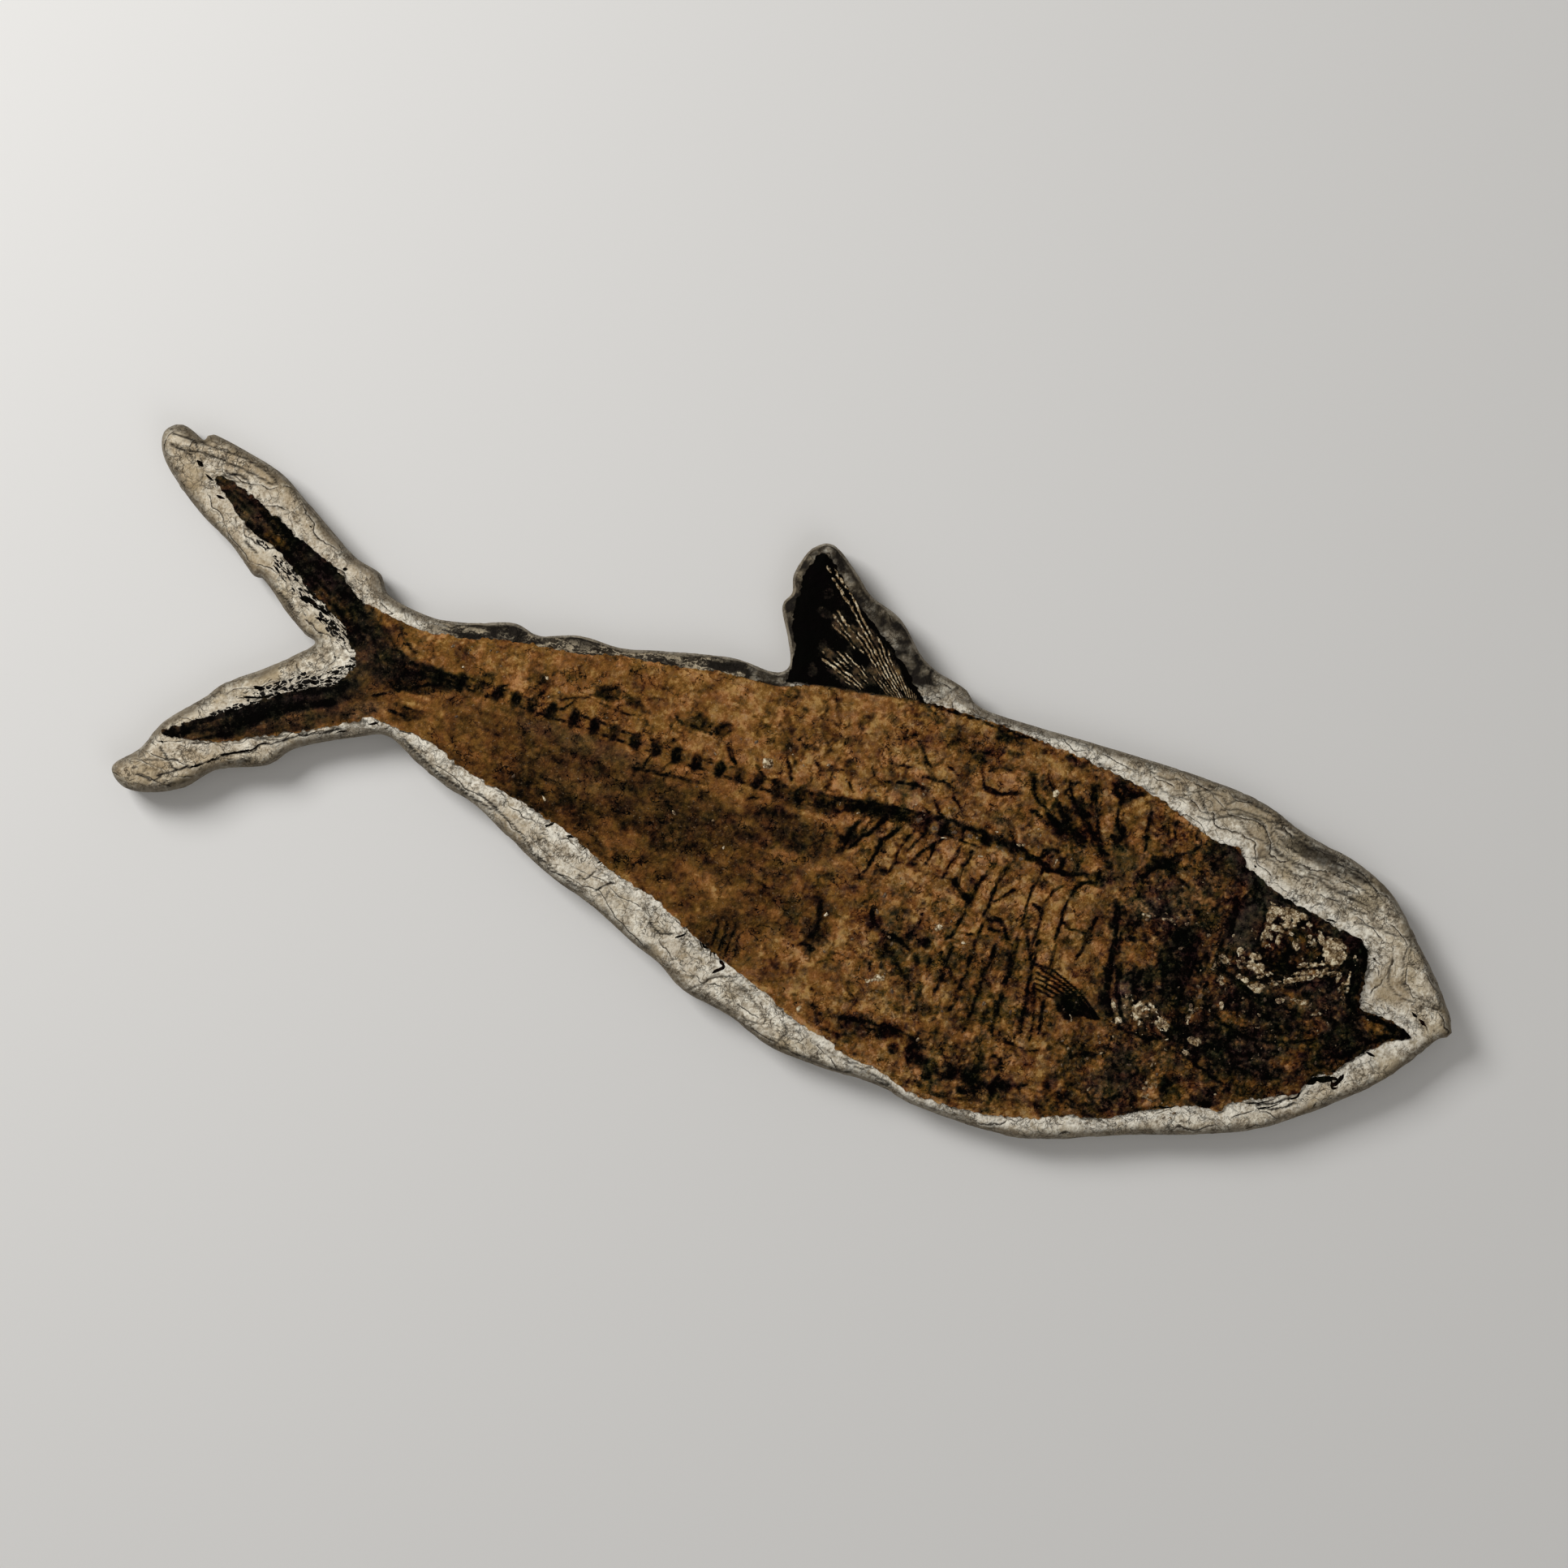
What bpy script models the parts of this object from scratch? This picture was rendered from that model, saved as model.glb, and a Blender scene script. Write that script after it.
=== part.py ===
"""Fossil fish on its trimmed limestone plate.

A deep-bodied, fork-tailed fish, pressed flat in pale lake limestone. The stone has been
trimmed back to a narrow margin round the fish, so the plate has the fish's own outline,
with two tail lobes and the lobe of the dorsal fin. It lies on its sawn underside.

Frame: metres, +X towards the snout, +Y towards the fish's back, +Z up out of the stone.
The origin is the middle of the underside. The lists below are in millimetres.
"""

import math

import bmesh
import bpy
from mathutils import Vector, noise

MM = 0.001

# Driving dimensions, in millimetres
PLATE_LENGTH = 436.7
PLATE_WIDTH = 155.8
PLATE_THICKNESS = 12.0
SEAT_GAP = 0.3
FILM_THICKNESS = 0.7
BODY_RISE = 1.5
HEAD_RISE = 0.7

# Where the body's swell starts at the tail, fills out, and ends at the snout; where the head starts
SWELL_START = -146.0
SWELL_FULL = -96.0
SNOUT_FULL = 182.0
SNOUT_END = 196.0
HEAD_START = 108.0
HEAD_FULL = 122.0
# The swell stops this far short of the film's ends, and at this share of its half width
SWELL_END_MARGINS = (3.0, 1.5)
SWELL_HALF_WIDTH = 0.94
# How much of a bone's radius lies below the surface it rests on
BONE_SUNK = 0.25

# Fineness of the solids
PLATE_STEP = 5.0
FILM_STEP = 4.6
BODY_ROWS = 6
BODY_COLUMNS = 30
ROD_SIDES = 6
BONE_STEP = 9.0
HEAD_BONE_STEP = 7.0
FIN_RAY_STEP = 12.0
HEAD_BONE_TAPER = 0.75

FILM_BOTTOM = PLATE_THICKNESS + SEAT_GAP
FILM_TOP = FILM_BOTTOM + FILM_THICKNESS
# How deep bones and the body's swell reach into the film
BONE_FLOOR = FILM_BOTTOM + 0.2
BODY_FLOOR = FILM_BOTTOM + 0.35
# How deep a bed on the stone is rooted, and how far a cut reaches above what it cuts
BED_ROOT = 1.0
CUT_CLEAR = 3.0

# The plate's bedding layers: height of the layer's top, and how far its edge is broken back
LAYERS = ((3.4, 1.1), (7.6, 0.0), (PLATE_THICKNESS, 0.8))
LEDGE_ROUGHNESS = 0.55

# The plate's outline, clockwise from the root of the upper tail lobe
PLATE_OUTLINE = (
    (-122, 16.5), (-136, 18.5), (-141, 24), (-150, 26.5), (-160, 32), (-170, 38), (-180, 43.5), (-190, 46),
    (-203, 48), (-206, 45.5), (-213, 47.8), (-218, 44), (-216, 37), (-208, 29.5), (-198, 23), (-187, 17.5),
    (-178, 11), (-174, 10.5), (-165, 4), (-157, -1), (-152.8, -2.5), (-155, -6), (-165, -15.5), (-175, -23.5),
    (-180, -30.5), (-189, -41), (-193, -51), (-199.5, -59), (-195, -64), (-187, -63.5), (-177, -58.5),
    (-169, -50), (-155, -43.5), (-148, -35.5), (-132, -26.5), (-122, -22.8), (-110, -28), (-100, -31.7),
    (-90, -34), (-75, -41), (-60, -47.5), (-45, -52), (-30, -58.5), (-20, -62), (-10, -67.5), (5, -70),
    (20, -75), (38, -76), (55, -75.5), (70, -77.8), (97, -77.5), (113, -73.5), (135, -64.5), (155, -57.5),
    (172, -49.5), (189, -36.5), (204, -22), (214, -7), (218.3, -2.5), (212, 7.5), (200, 20), (187, 32),
    (173, 38), (156, 41), (140, 46), (120, 47.3), (90, 46.5), (55, 45), (46, 46), (42, 49.2), (28, 53),
    (16, 63), (5, 67), (-2, 72.5), (-11, 78), (-17, 75), (-19.8, 66), (-18.5, 60), (-20, 55), (-15, 46),
    (-12, 38.5), (-16, 35), (-30, 34.8), (-50, 30), (-63, 26.5), (-76, 26), (-88, 22), (-97, 23),
    (-110, 18.5),
)

# The fish's edge along the back, from the root of the tail to the snout
BACK_EDGE = (
    (-143, 14), (-125, 11.5), (-112, 13), (-95, 17.5), (-75, 20.5), (-62, 24), (-45, 26.5), (-30, 29.5),
    (-14, 31), (-2, 35), (15, 38), (35, 41.5), (60, 41.8), (85, 40.2), (102, 38), (116, 34), (129, 30),
    (137, 30), (147, 22.5), (162, 18.5), (178, 15), (187, 11.5),
)
# The fish's edge along the belly, from the root of the tail to the corner of the mouth
BELLY_EDGE = (
    (-143, -13), (-128, -18.5), (-110, -20), (-95, -24.8), (-76, -28.5), (-60, -32.5), (-42, -39.7),
    (-28, -43), (-15, -49), (0, -55), (15, -60), (35, -66.5), (52, -70), (66, -74), (88, -73), (103, -69.5),
    (124, -62.5), (143, -52), (158, -48), (173, -38), (186, -26.5), (187, -20),
)
UPPER_TAIL_LOBE = (
    (-138, -6), (-145, 4.5), (-153, 9), (-163, 15), (-172, 20.5), (-186, 27), (-199, 35), (-187, 35.5),
    (-168, 26.5), (-153, 20.5), (-143, 14),
)
LOWER_TAIL_LOBE = (
    (-128, -19), (-142, -27.5), (-157, -35.5), (-172, -42.5), (-188, -45), (-183, -39.5), (-168, -29),
    (-158, -21.5), (-146, -15), (-138, -8),
)
DORSAL_FIN = (
    (-11, 36), (-12, 43), (-16.5, 52), (-16.5, 60), (-17.5, 67), (-14, 75), (-5, 68.5), (8, 58.5),
    (17, 52), (25, 44), (31, 41),
)
LOWER_JAW = (
    (185, -3.5), (195, -4.7), (206.5, -7.5), (201, -10.5), (195.5, -16.5), (188, -24),
)

# The backbone's line, from the tail to the skull, and the spacing of its vertebrae
BACKBONE = (
    (-126, -1, 1.9), (-100, 0.5, 2.0), (-65, 0.8, 2.1), (-30, 0.7, 2.1), (-3, 1, 2.2), (17, 3, 2.3),
    (35, 5.4, 2.4), (50, 7.8, 2.4), (70, 7.5, 2.4), (85, 7.8, 2.6), (102, 8.5, 2.6),
)
VERTEBRA_PITCH = 6.4
VERTEBRA_WAIST = 0.62

# Bones that stand proud of the film: (x, y) along each, thickest at the end named first
RIBS = (
    ((36, 3), (32, -5), (30.5, -12)),
    ((30, 0), (26, -5), (22.5, -10)),
    ((39, -2), (38, -10), (34, -13)),
    ((51, 2), (49, -10), (47, -22), (46, -36)),
    ((58, 3), (56.5, -10), (55.5, -24), (54, -44)),
    ((66, 2), (64.5, -8), (62.5, -24), (61, -40)),
    ((72, 0), (70, -12), (70, -28), (70, -46)),
    ((80, 0), (79, -14), (76, -30), (75.5, -48)),
    ((85, -2), (86, -14), (87, -28), (88, -38)),
    ((93, 3), (92.5, -6), (93, -14), (95, -25)),
    ((101.5, -5), (100.5, -20)),
)
SPINES = (
    ((-17, 2), (-21.5, 9)),
    ((0, 4), (-4, 11)),
    ((10, 6), (8, 15)),
    ((19, 6), (17, 13)),
    ((31, 9), (28, 19)),
    ((40, 11), (35, 27)),
    ((52, 11), (46, 28)),
    ((62, 11), (57, 30)),
    ((72, 11), (66, 32)),
)
NAPE_BONES = (
    ((84, 14), (78, 20), (70, 29)),
    ((88, 15), (81, 23), (75.5, 31)),
    ((92, 15), (87, 24), (82, 32.5)),
    ((96, 16), (92.5, 25), (90, 34)),
    ((99, 17), (98, 28), (97, 38)),
    ((103, 17), (102, 27), (103, 37)),
    ((109, 18), (108, 26), (109, 35)),
    ((112, 16), (119, 22), (125, 26)),
)
# Shoulder girdle, gill cover rims and jaw bones: thicker bones, with their thickness
HEAD_BONES = (
    (1.5, ((106, 1), (107.5, -7), (107, -14), (110, -22), (113, -31), (120, -38))),
    (1.2, ((111.5, -2), (112.5, -12), (116, -28), (121, -34))),
    (2.4, ((183, 10.6), (175, 14.4), (160, 17.2), (148, 20.5), (140, 24.5), (134, 29))),
    (1.6, ((182.5, 4), (183, -4), (181.5, -12))),
    (1.3, ((150, 14), (148.5, 3), (150, -8), (157, -17), (168, -20), (182, -17))),
    (1.2, ((137, 19), (138.5, 4), (138.5, -12), (143, -27), (154, -34))),
    (1.4, ((187, -7), (196, -6.7), (204, -8))),
    (1.1, ((188, -10), (194, -13), (198, -11.5))),
)
GILL_RAYS = (
    ((132, -38), (140, -44), (152, -46)),
    ((138, -34), (148, -40), (160, -42.5)),
    ((146, -31), (157, -36), (169, -37.5)),
    ((155, -28), (166, -31), (177, -32)),
)
PECTORAL_FIN = (
    ((112, -34), (104, -31), (92, -30)),
    ((112, -33), (103, -28), (91, -26.5)),
    ((111, -31.5), (102, -25.5), (92, -23)),
    ((112, -35.5), (104, -34.5), (94, -34)),
)
DORSAL_RAYS = (
    ((27, 41), (18, 51), (6, 59.5), (-8, 69.5)),
    ((20, 40), (11, 52), (-1, 62), (-12, 71)),
    ((13, 39), (4, 51), (-6, 60), (-14.5, 67)),
    ((5, 37.5), (-3, 48), (-10, 55), (-14, 60)),
    ((-3, 36), (-8, 43), (-13, 50)),
)
TAIL_RAYS = (
    ((-136, 5), (-152, 17), (-172, 27.5), (-193, 35.5)),
    ((-136, 2), (-150, 12), (-166, 21), (-184, 29.5)),
    ((-135, -1), (-146, 6), (-158, 13.5), (-172, 21)),
    ((-135, -7), (-146, -16.5), (-158, -23.5), (-172, -32.5)),
    ((-134, -10), (-150, -23), (-167, -34), (-184, -43)),
    ((-133, -14), (-150, -27.5), (-167, -39.5)),
)

# The crushed eye socket, its eye, and the plate of the gill cover
EYE_CENTRE = (164, 5.5)
SOCKET_RADII = (12.5, 8.5)
SOCKET_RIM = 2.0
SOCKET_DEPTH = 0.5
EYE_RADII = (6.5, 5.2)
GILL_COVER_RISE = 0.6
GILL_COVER = (
    (114, 2), (123, 6), (132, 3), (134, -8), (132.5, -20), (127, -30), (120, -26), (115.5, -12),
)

# Thin beds left standing outside the fish, each with its height above the plate
TERRACES = (
    (0.9, ((121, 44.5), (122, 40), (126, 37), (135, 40.5), (142, 39.5), (146, 34), (156, 30.5), (168, 27.5),
           (182, 26), (190, 26), (184, 31.5), (172, 35.8), (156, 38.7), (140, 43.6))),
    (1.7, ((146, 39.5), (150, 36), (160, 33.5), (172, 31.5), (183, 29), (180, 32), (171, 34.4), (156, 37.2))),
    (0.8, ((197, 18.5), (196.5, 12), (199, 6.5), (205, 4), (211.5, 3.2), (208, 9.5), (201, 16.5))),
    (0.7, ((-205, 44), (-213, 45), (-215.5, 41.5), (-208, 40.5), (-203, 41.5), (-190, 40.5), (-180, 39.5),
           (-183, 41.8), (-192, 43.8))),
    (0.8, ((-184, -52), (-176, -49), (-164, -43.5), (-160, -43.5), (-167, -47), (-176, -55.5), (-186, -61),
           (-194, -61), (-192, -55))),
    (0.8, ((24, -67), (40, -71), (58, -73.5), (56, -74.2), (39, -74.6), (24, -73.4), (21, -70))),
)
# A shallow scoop where a flake came off below the belly, and its depth
SCOOP_DEPTH = 0.8
SCOOP = ((-6, -65), (-2, -59.5), (6, -60.5), (14, -65.5), (16, -69), (8, -68.8), (-1, -67.3))


def clear_scene():
    for thing in list(bpy.data.objects):
        bpy.data.objects.remove(thing, do_unlink=True)


def material(name, colour, roughness):
    """A plain finish for one kind of surface; the colour is linear."""
    finish = bpy.data.materials.new(name)
    finish.use_nodes = True
    shader = finish.node_tree.nodes["Principled BSDF"]
    shader.inputs["Base Color"].default_value = (*colour, 1.0)
    shader.inputs["Roughness"].default_value = roughness
    shader.inputs["Metallic"].default_value = 0.0
    return finish


def spline(before, start, end, after, t):
    """A Catmull-Rom blend between start and end."""
    return (start * 2 + (end - before) * t + (before * 2 - start * 5 + end * 4 - after) * t * t
            + (start * 3 - before - end * 3 + after) * t * t * t) / 2


def smooth(points, closed=False, fine=12):
    """Many points on a smooth curve through the given ones, of any dimension."""
    knots = [Vector(point) for point in points]
    count = len(knots)
    curve = []
    for i in range(count if closed else count - 1):
        if closed:
            near = [knots[(i + k) % count] for k in (-1, 0, 1, 2)]
        else:
            near = [knots[min(max(i + k, 0), count - 1)] for k in (-1, 0, 1, 2)]
        curve += [spline(*near, step / fine) for step in range(fine)]
    if not closed:
        curve.append(knots[-1])
    return curve


def spaced(curve, step, closed=False):
    """The curve again, with its points about one step apart."""
    path = curve + [curve[0]] if closed else curve
    runs = [0.0]
    for a, b in zip(path, path[1:]):
        runs.append(runs[-1] + (b - a).length)
    pieces = max(1, round(runs[-1] / step))
    result = []
    i = 0
    for k in range(pieces if closed else pieces + 1):
        target = runs[-1] * k / pieces
        while i < len(runs) - 2 and runs[i + 1] < target:
            i += 1
        share = (target - runs[i]) / (runs[i + 1] - runs[i])
        result.append(path[i].lerp(path[i + 1], share))
    return result


def profile(points):
    """A function that gives y at x on the smooth curve through the points, which run along x."""
    curve = smooth(points)

    def height(x):
        for a, b in zip(curve, curve[1:]):
            if x <= b.x:
                return a.y + (b.y - a.y) * ramp(x, a.x, b.x)
        return curve[-1].y

    return height


def fitted(ring, length, width):
    """The ring, moved and stretched so that its box is centred and of the given size."""
    low = Vector((min(p.x for p in ring), min(p.y for p in ring)))
    high = Vector((max(p.x for p in ring), max(p.y for p in ring)))
    middle = (low + high) / 2
    return [Vector(((p.x - middle.x) * length / (high.x - low.x),
                    (p.y - middle.y) * width / (high.y - low.y))) for p in ring]


def inset(ring, depth_at):
    """The clockwise ring, each point moved inwards by depth_at(point)."""
    moved = []
    for i, point in enumerate(ring):
        along = (ring[(i + 1) % len(ring)] - ring[i - 1]).normalized()
        inward = Vector((along.y, -along.x))
        moved.append(point + inward * depth_at(point))
    return moved


def clockwise(ring):
    area = sum(a.x * b.y - b.x * a.y for a, b in zip(ring, ring[1:] + ring[:1]))
    return ring if area < 0 else ring[::-1]


def at_height(ring, z):
    return [Vector((point.x, point.y, z)) for point in ring]


def add_loft(bm, rings):
    """One closed body through rings with the same number of points, the ends capped."""
    cap = bm.faces.new([bm.verts.new(point * MM) for point in rings[0]])
    for level, ring in enumerate(rings[1:]):
        grown = bmesh.ops.extrude_face_region(bm, geom=[cap])["geom"]
        if level:
            bm.faces.remove(cap)
        cap = next(item for item in grown if isinstance(item, bmesh.types.BMFace))
        for vert, point in zip(cap.verts, ring):
            vert.co = point * MM


def add_slab(bm, outline, low, high, step, chamfer=0.0):
    """A flat plate with a smooth outline; its top edge is broken by the chamfer."""
    ring = clockwise(spaced(smooth(outline, closed=True), step, closed=True))
    rings = [at_height(ring, low), at_height(ring, high - chamfer)]
    if chamfer:
        rings.append(at_height(inset(ring, lambda point: chamfer), high))
    add_loft(bm, rings)


def add_rod(bm, stations):
    """A tapering rod through (x, y, z, radius) stations, flat below where it would leave the film."""
    centres = [Vector(station[:3]) for station in stations]
    rings = []
    for i, (centre, station) in enumerate(zip(centres, stations)):
        ahead = centres[min(i + 1, len(centres) - 1)] - centres[max(i - 1, 0)]
        side = ahead.cross(Vector((0, 0, 1))).normalized()
        up = side.cross(ahead).normalized()
        turns = [2 * math.pi * (k + 0.5) / ROD_SIDES for k in range(ROD_SIDES)]
        ring = [centre + (side * math.cos(turn) + up * math.sin(turn)) * station[3] for turn in turns]
        for point in ring:
            point.z = max(point.z, BONE_FLOOR)
        rings.append(ring)
    add_loft(bm, rings)


def finished(bm, name, finish):
    """An object made of the bmesh, with its faces turned outwards."""
    bmesh.ops.recalc_face_normals(bm, faces=bm.faces)
    mesh = bpy.data.meshes.new(name)
    bm.to_mesh(mesh)
    bm.free()
    mesh.materials.append(finish)
    piece = bpy.data.objects.new(name, mesh)
    bpy.context.scene.collection.objects.link(piece)
    return piece


def combine(piece, other, operation):
    """Fuses or cuts with another object, which is then removed."""
    change = piece.modifiers.new(operation.lower(), "BOOLEAN")
    change.operation = operation
    change.solver = "EXACT"
    change.use_self = True
    change.object = other
    bpy.context.view_layer.update()
    graph = bpy.context.evaluated_depsgraph_get()
    mesh = bpy.data.meshes.new_from_object(piece.evaluated_get(graph))
    piece.modifiers.remove(change)
    mesh.name = piece.name
    piece.data = mesh
    bpy.data.objects.remove(other, do_unlink=True)


def ramp(x, start, end):
    """0 at start, 1 at end, and held beyond them."""
    return min(max((x - start) / (end - start), 0.0), 1.0)


back = profile(BACK_EDGE)
belly = profile(BELLY_EDGE)


def body_height(x, y):
    """Height of the flattened body above the film, at a place in the fish."""
    low = belly(x)
    high = back(x)
    across = min(max((y - low) / (high - low), 0.0), 1.0)
    crown = 1 - abs(2 * across - 1) ** 3
    taper = ramp(x, SWELL_START, SWELL_FULL) * ramp(x, SNOUT_END, SNOUT_FULL)
    return crown * taper * (BODY_RISE + HEAD_RISE * ramp(x, HEAD_START, HEAD_FULL))


def surface(x, y):
    return FILM_TOP + body_height(x, y)


def build_plate(stone):
    ring = fitted(spaced(smooth(PLATE_OUTLINE, closed=True), PLATE_STEP, closed=True),
                  PLATE_LENGTH, PLATE_WIDTH)
    ring = clockwise(ring)
    levels = []
    low = 0.0
    for layer, (high, broken_back) in enumerate(LAYERS):
        def depth_at(point, layer=layer, broken_back=broken_back):
            rough = noise.noise(Vector((point.x / 9, point.y / 9, layer * 7.3)))
            return broken_back + LEDGE_ROUGHNESS * (rough + 1) if broken_back else 0.0
        edge = inset(ring, depth_at)
        levels += [at_height(edge, low), at_height(edge, high)]
        low = high
    bm = bmesh.new()
    add_loft(bm, levels)
    plate = finished(bm, "limestone_matrix", stone)

    beds = bmesh.new()
    for rise, outline in TERRACES:
        add_slab(beds, outline, PLATE_THICKNESS - BED_ROOT, PLATE_THICKNESS + rise, PLATE_STEP, 0.3)
    combine(plate, finished(beds, "beds", stone), "UNION")

    scoop = bmesh.new()
    add_slab(scoop, SCOOP, PLATE_THICKNESS - SCOOP_DEPTH, PLATE_THICKNESS + CUT_CLEAR, PLATE_STEP)
    combine(plate, finished(scoop, "scoop", stone), "DIFFERENCE")
    return plate


def fish_outline():
    """The film's whole edge, clockwise: back with the dorsal fin, jaws, belly and tail."""
    before_fin = [point for point in BACK_EDGE if point[0] < DORSAL_FIN[0][0]]
    after_fin = [point for point in BACK_EDGE if point[0] > DORSAL_FIN[-1][0]]
    return (*before_fin, *DORSAL_FIN, *after_fin, *LOWER_JAW, *BELLY_EDGE[-3::-1][:-1],
            *LOWER_TAIL_LOBE[1:], *UPPER_TAIL_LOBE[1:-1])


def add_body(bm):
    """The body's low swell, a grid stretched between the belly and the back."""
    grid = bmesh.ops.create_grid(bm, x_segments=BODY_COLUMNS, y_segments=BODY_ROWS, size=1.0)
    tail_end = BACK_EDGE[0][0] + SWELL_END_MARGINS[0]
    snout_end = BACK_EDGE[-1][0] - SWELL_END_MARGINS[1]
    for vert in grid["verts"]:
        x = tail_end + (snout_end - tail_end) * (vert.co.x + 1) / 2
        across = (1 + SWELL_HALF_WIDTH * vert.co.y) / 2
        y = belly(x) + (back(x) - belly(x)) * across
        vert.co = Vector((x, y, surface(x, y))) * MM
    rim = [edge for edge in bm.edges if edge.is_boundary]
    skirt = bmesh.ops.extrude_edge_only(bm, edges=rim)["geom"]
    for vert in (item for item in skirt if isinstance(item, bmesh.types.BMVert)):
        vert.co.z = BODY_FLOOR * MM
    bmesh.ops.holes_fill(bm, edges=[edge for edge in bm.edges if edge.is_boundary], sides=0)


def add_bone(bm, path, thick, thin, step=BONE_STEP):
    """A bone that lies partly sunk in the film, its radius going from thick to thin."""
    line = spaced(smooth(path), step)
    stations = []
    for i, point in enumerate(line):
        radius = thick + (thin - thick) * i / max(len(line) - 1, 1)
        stations.append((point.x, point.y, surface(point.x, point.y) - BONE_SUNK * radius, radius))
    add_rod(bm, stations)


def add_backbone(bm):
    """The backbone, an hourglass to each vertebra."""
    line = spaced(smooth(BACKBONE), VERTEBRA_PITCH / 2)
    stations = []
    for i, (x, y, radius) in enumerate(line):
        waist = VERTEBRA_WAIST if i % 2 else 1.0
        stations.append((x, y, surface(x, y) - BONE_SUNK * radius, radius * waist))
    add_rod(bm, stations)


def ellipse(centre, radii, count):
    turns = [2 * math.pi * k / count for k in range(count)]
    return [(centre[0] + radii[0] * math.cos(turn), centre[1] + radii[1] * math.sin(turn)) for turn in turns]


def build_fish(bone):
    film = bmesh.new()
    add_slab(film, fish_outline(), FILM_BOTTOM, FILM_TOP, FILM_STEP)
    fish = finished(film, "fossil_fish", bone)

    body = bmesh.new()
    add_body(body)
    combine(fish, finished(body, "body", bone), "UNION")

    plates = bmesh.new()
    head_top = surface(*EYE_CENTRE)
    add_slab(plates, GILL_COVER, BODY_FLOOR, head_top + GILL_COVER_RISE, FILM_STEP, 0.4)
    add_slab(plates, ellipse(EYE_CENTRE, SOCKET_RADII, 12), BODY_FLOOR, head_top + SOCKET_DEPTH, FILM_STEP, 0.3)
    combine(fish, finished(plates, "plates", bone), "UNION")

    socket = bmesh.new()
    inner = [radius - SOCKET_RIM for radius in SOCKET_RADII]
    add_slab(socket, ellipse(EYE_CENTRE, inner, 12), head_top - SOCKET_DEPTH, head_top + CUT_CLEAR, FILM_STEP)
    combine(fish, finished(socket, "socket", bone), "DIFFERENCE")

    bones = bmesh.new()
    add_backbone(bones)
    add_slab(bones, ellipse(EYE_CENTRE, EYE_RADII, 10), BODY_FLOOR, head_top + 0.3, FILM_STEP, 0.5)
    for path in RIBS:
        add_bone(bones, path, 0.9, 0.5)
    for path in SPINES:
        add_bone(bones, path, 0.8, 0.4)
    for path in NAPE_BONES:
        add_bone(bones, path, 0.6, 1.0)
    for thick, path in HEAD_BONES:
        add_bone(bones, path, thick, thick * HEAD_BONE_TAPER, HEAD_BONE_STEP)
    for path in GILL_RAYS:
        add_bone(bones, path, 0.9, 0.6)
    for path in PECTORAL_FIN:
        add_bone(bones, path, 0.9, 0.45)
    for path in DORSAL_RAYS + TAIL_RAYS:
        add_bone(bones, path, 0.8, 0.45, FIN_RAY_STEP)
    combine(fish, finished(bones, "bones", bone), "UNION")
    return fish


clear_scene()
build_plate(material("limestone", (0.42, 0.35, 0.25), 0.9))
build_fish(material("fossil_bone", (0.07, 0.035, 0.014), 0.55))
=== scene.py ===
import math

import bmesh
import bpy
import numpy as np
from mathutils import Matrix, Vector, kdtree


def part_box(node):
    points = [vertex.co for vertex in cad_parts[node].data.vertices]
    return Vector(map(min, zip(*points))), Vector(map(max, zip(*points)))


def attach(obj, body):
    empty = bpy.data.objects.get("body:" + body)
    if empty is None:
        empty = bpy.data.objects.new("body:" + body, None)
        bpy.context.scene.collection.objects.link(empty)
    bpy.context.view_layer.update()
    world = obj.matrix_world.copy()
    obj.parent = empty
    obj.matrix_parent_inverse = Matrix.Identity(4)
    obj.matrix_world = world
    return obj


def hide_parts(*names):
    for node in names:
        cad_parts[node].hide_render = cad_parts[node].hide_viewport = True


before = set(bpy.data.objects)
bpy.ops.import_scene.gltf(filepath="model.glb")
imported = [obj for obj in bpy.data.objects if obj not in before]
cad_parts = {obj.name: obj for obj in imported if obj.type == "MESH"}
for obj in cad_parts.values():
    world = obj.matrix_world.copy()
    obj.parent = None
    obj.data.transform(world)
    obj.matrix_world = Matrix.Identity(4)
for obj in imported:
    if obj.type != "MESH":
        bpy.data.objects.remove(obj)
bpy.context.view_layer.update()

# The photographer's table: a plain pale floor, a camera straight above the stone, rolled so that
# the fish hangs nose down to the right, a soft light on the upper left and a weak one opposite.
MM = 0.001
PHOTO_SIDE = 1932
MM_PER_PIXEL = 0.25
FISH_ROLL = math.radians(19)
VIEW_CENTRE = (-1.75, 3.15)
LENS = 85.0
SENSOR = 36.0
FLOOR_SIDE = 4.0
FLOOR_COLOUR = (0.80, 0.79, 0.77, 1.0)

stone_low, stone_high = (Vector(corner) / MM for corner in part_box("limestone_matrix"))
STONE_TOP = 12.0

scene = bpy.context.scene
view_width = PHOTO_SIDE * MM_PER_PIXEL * MM
camera = bpy.data.objects.new("camera", bpy.data.cameras.new("camera"))
camera.data.lens = LENS
camera.data.sensor_width = SENSOR
camera.location = (VIEW_CENTRE[0] * MM, VIEW_CENTRE[1] * MM, STONE_TOP * MM + view_width * LENS / SENSOR)
camera.rotation_euler = (0, 0, FISH_ROLL)
scene.collection.objects.link(camera)
scene.camera = camera
scene.view_settings.view_transform = "Standard"


def soft_light(name, azimuth, elevation, distance, side, power):
    """A square soft box that faces the stone; the azimuth is measured in the picture, from its right."""
    lamp = bpy.data.lights.new(name, "AREA")
    lamp.shape = "SQUARE"
    lamp.size = side
    lamp.energy = power
    light = bpy.data.objects.new(name, lamp)
    turn = azimuth + FISH_ROLL
    towards = Vector((math.cos(turn) * math.cos(elevation), math.sin(turn) * math.cos(elevation),
                      math.sin(elevation)))
    light.location = towards * distance
    light.rotation_euler = towards.to_track_quat("Z", "Y").to_euler()
    scene.collection.objects.link(light)


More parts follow.
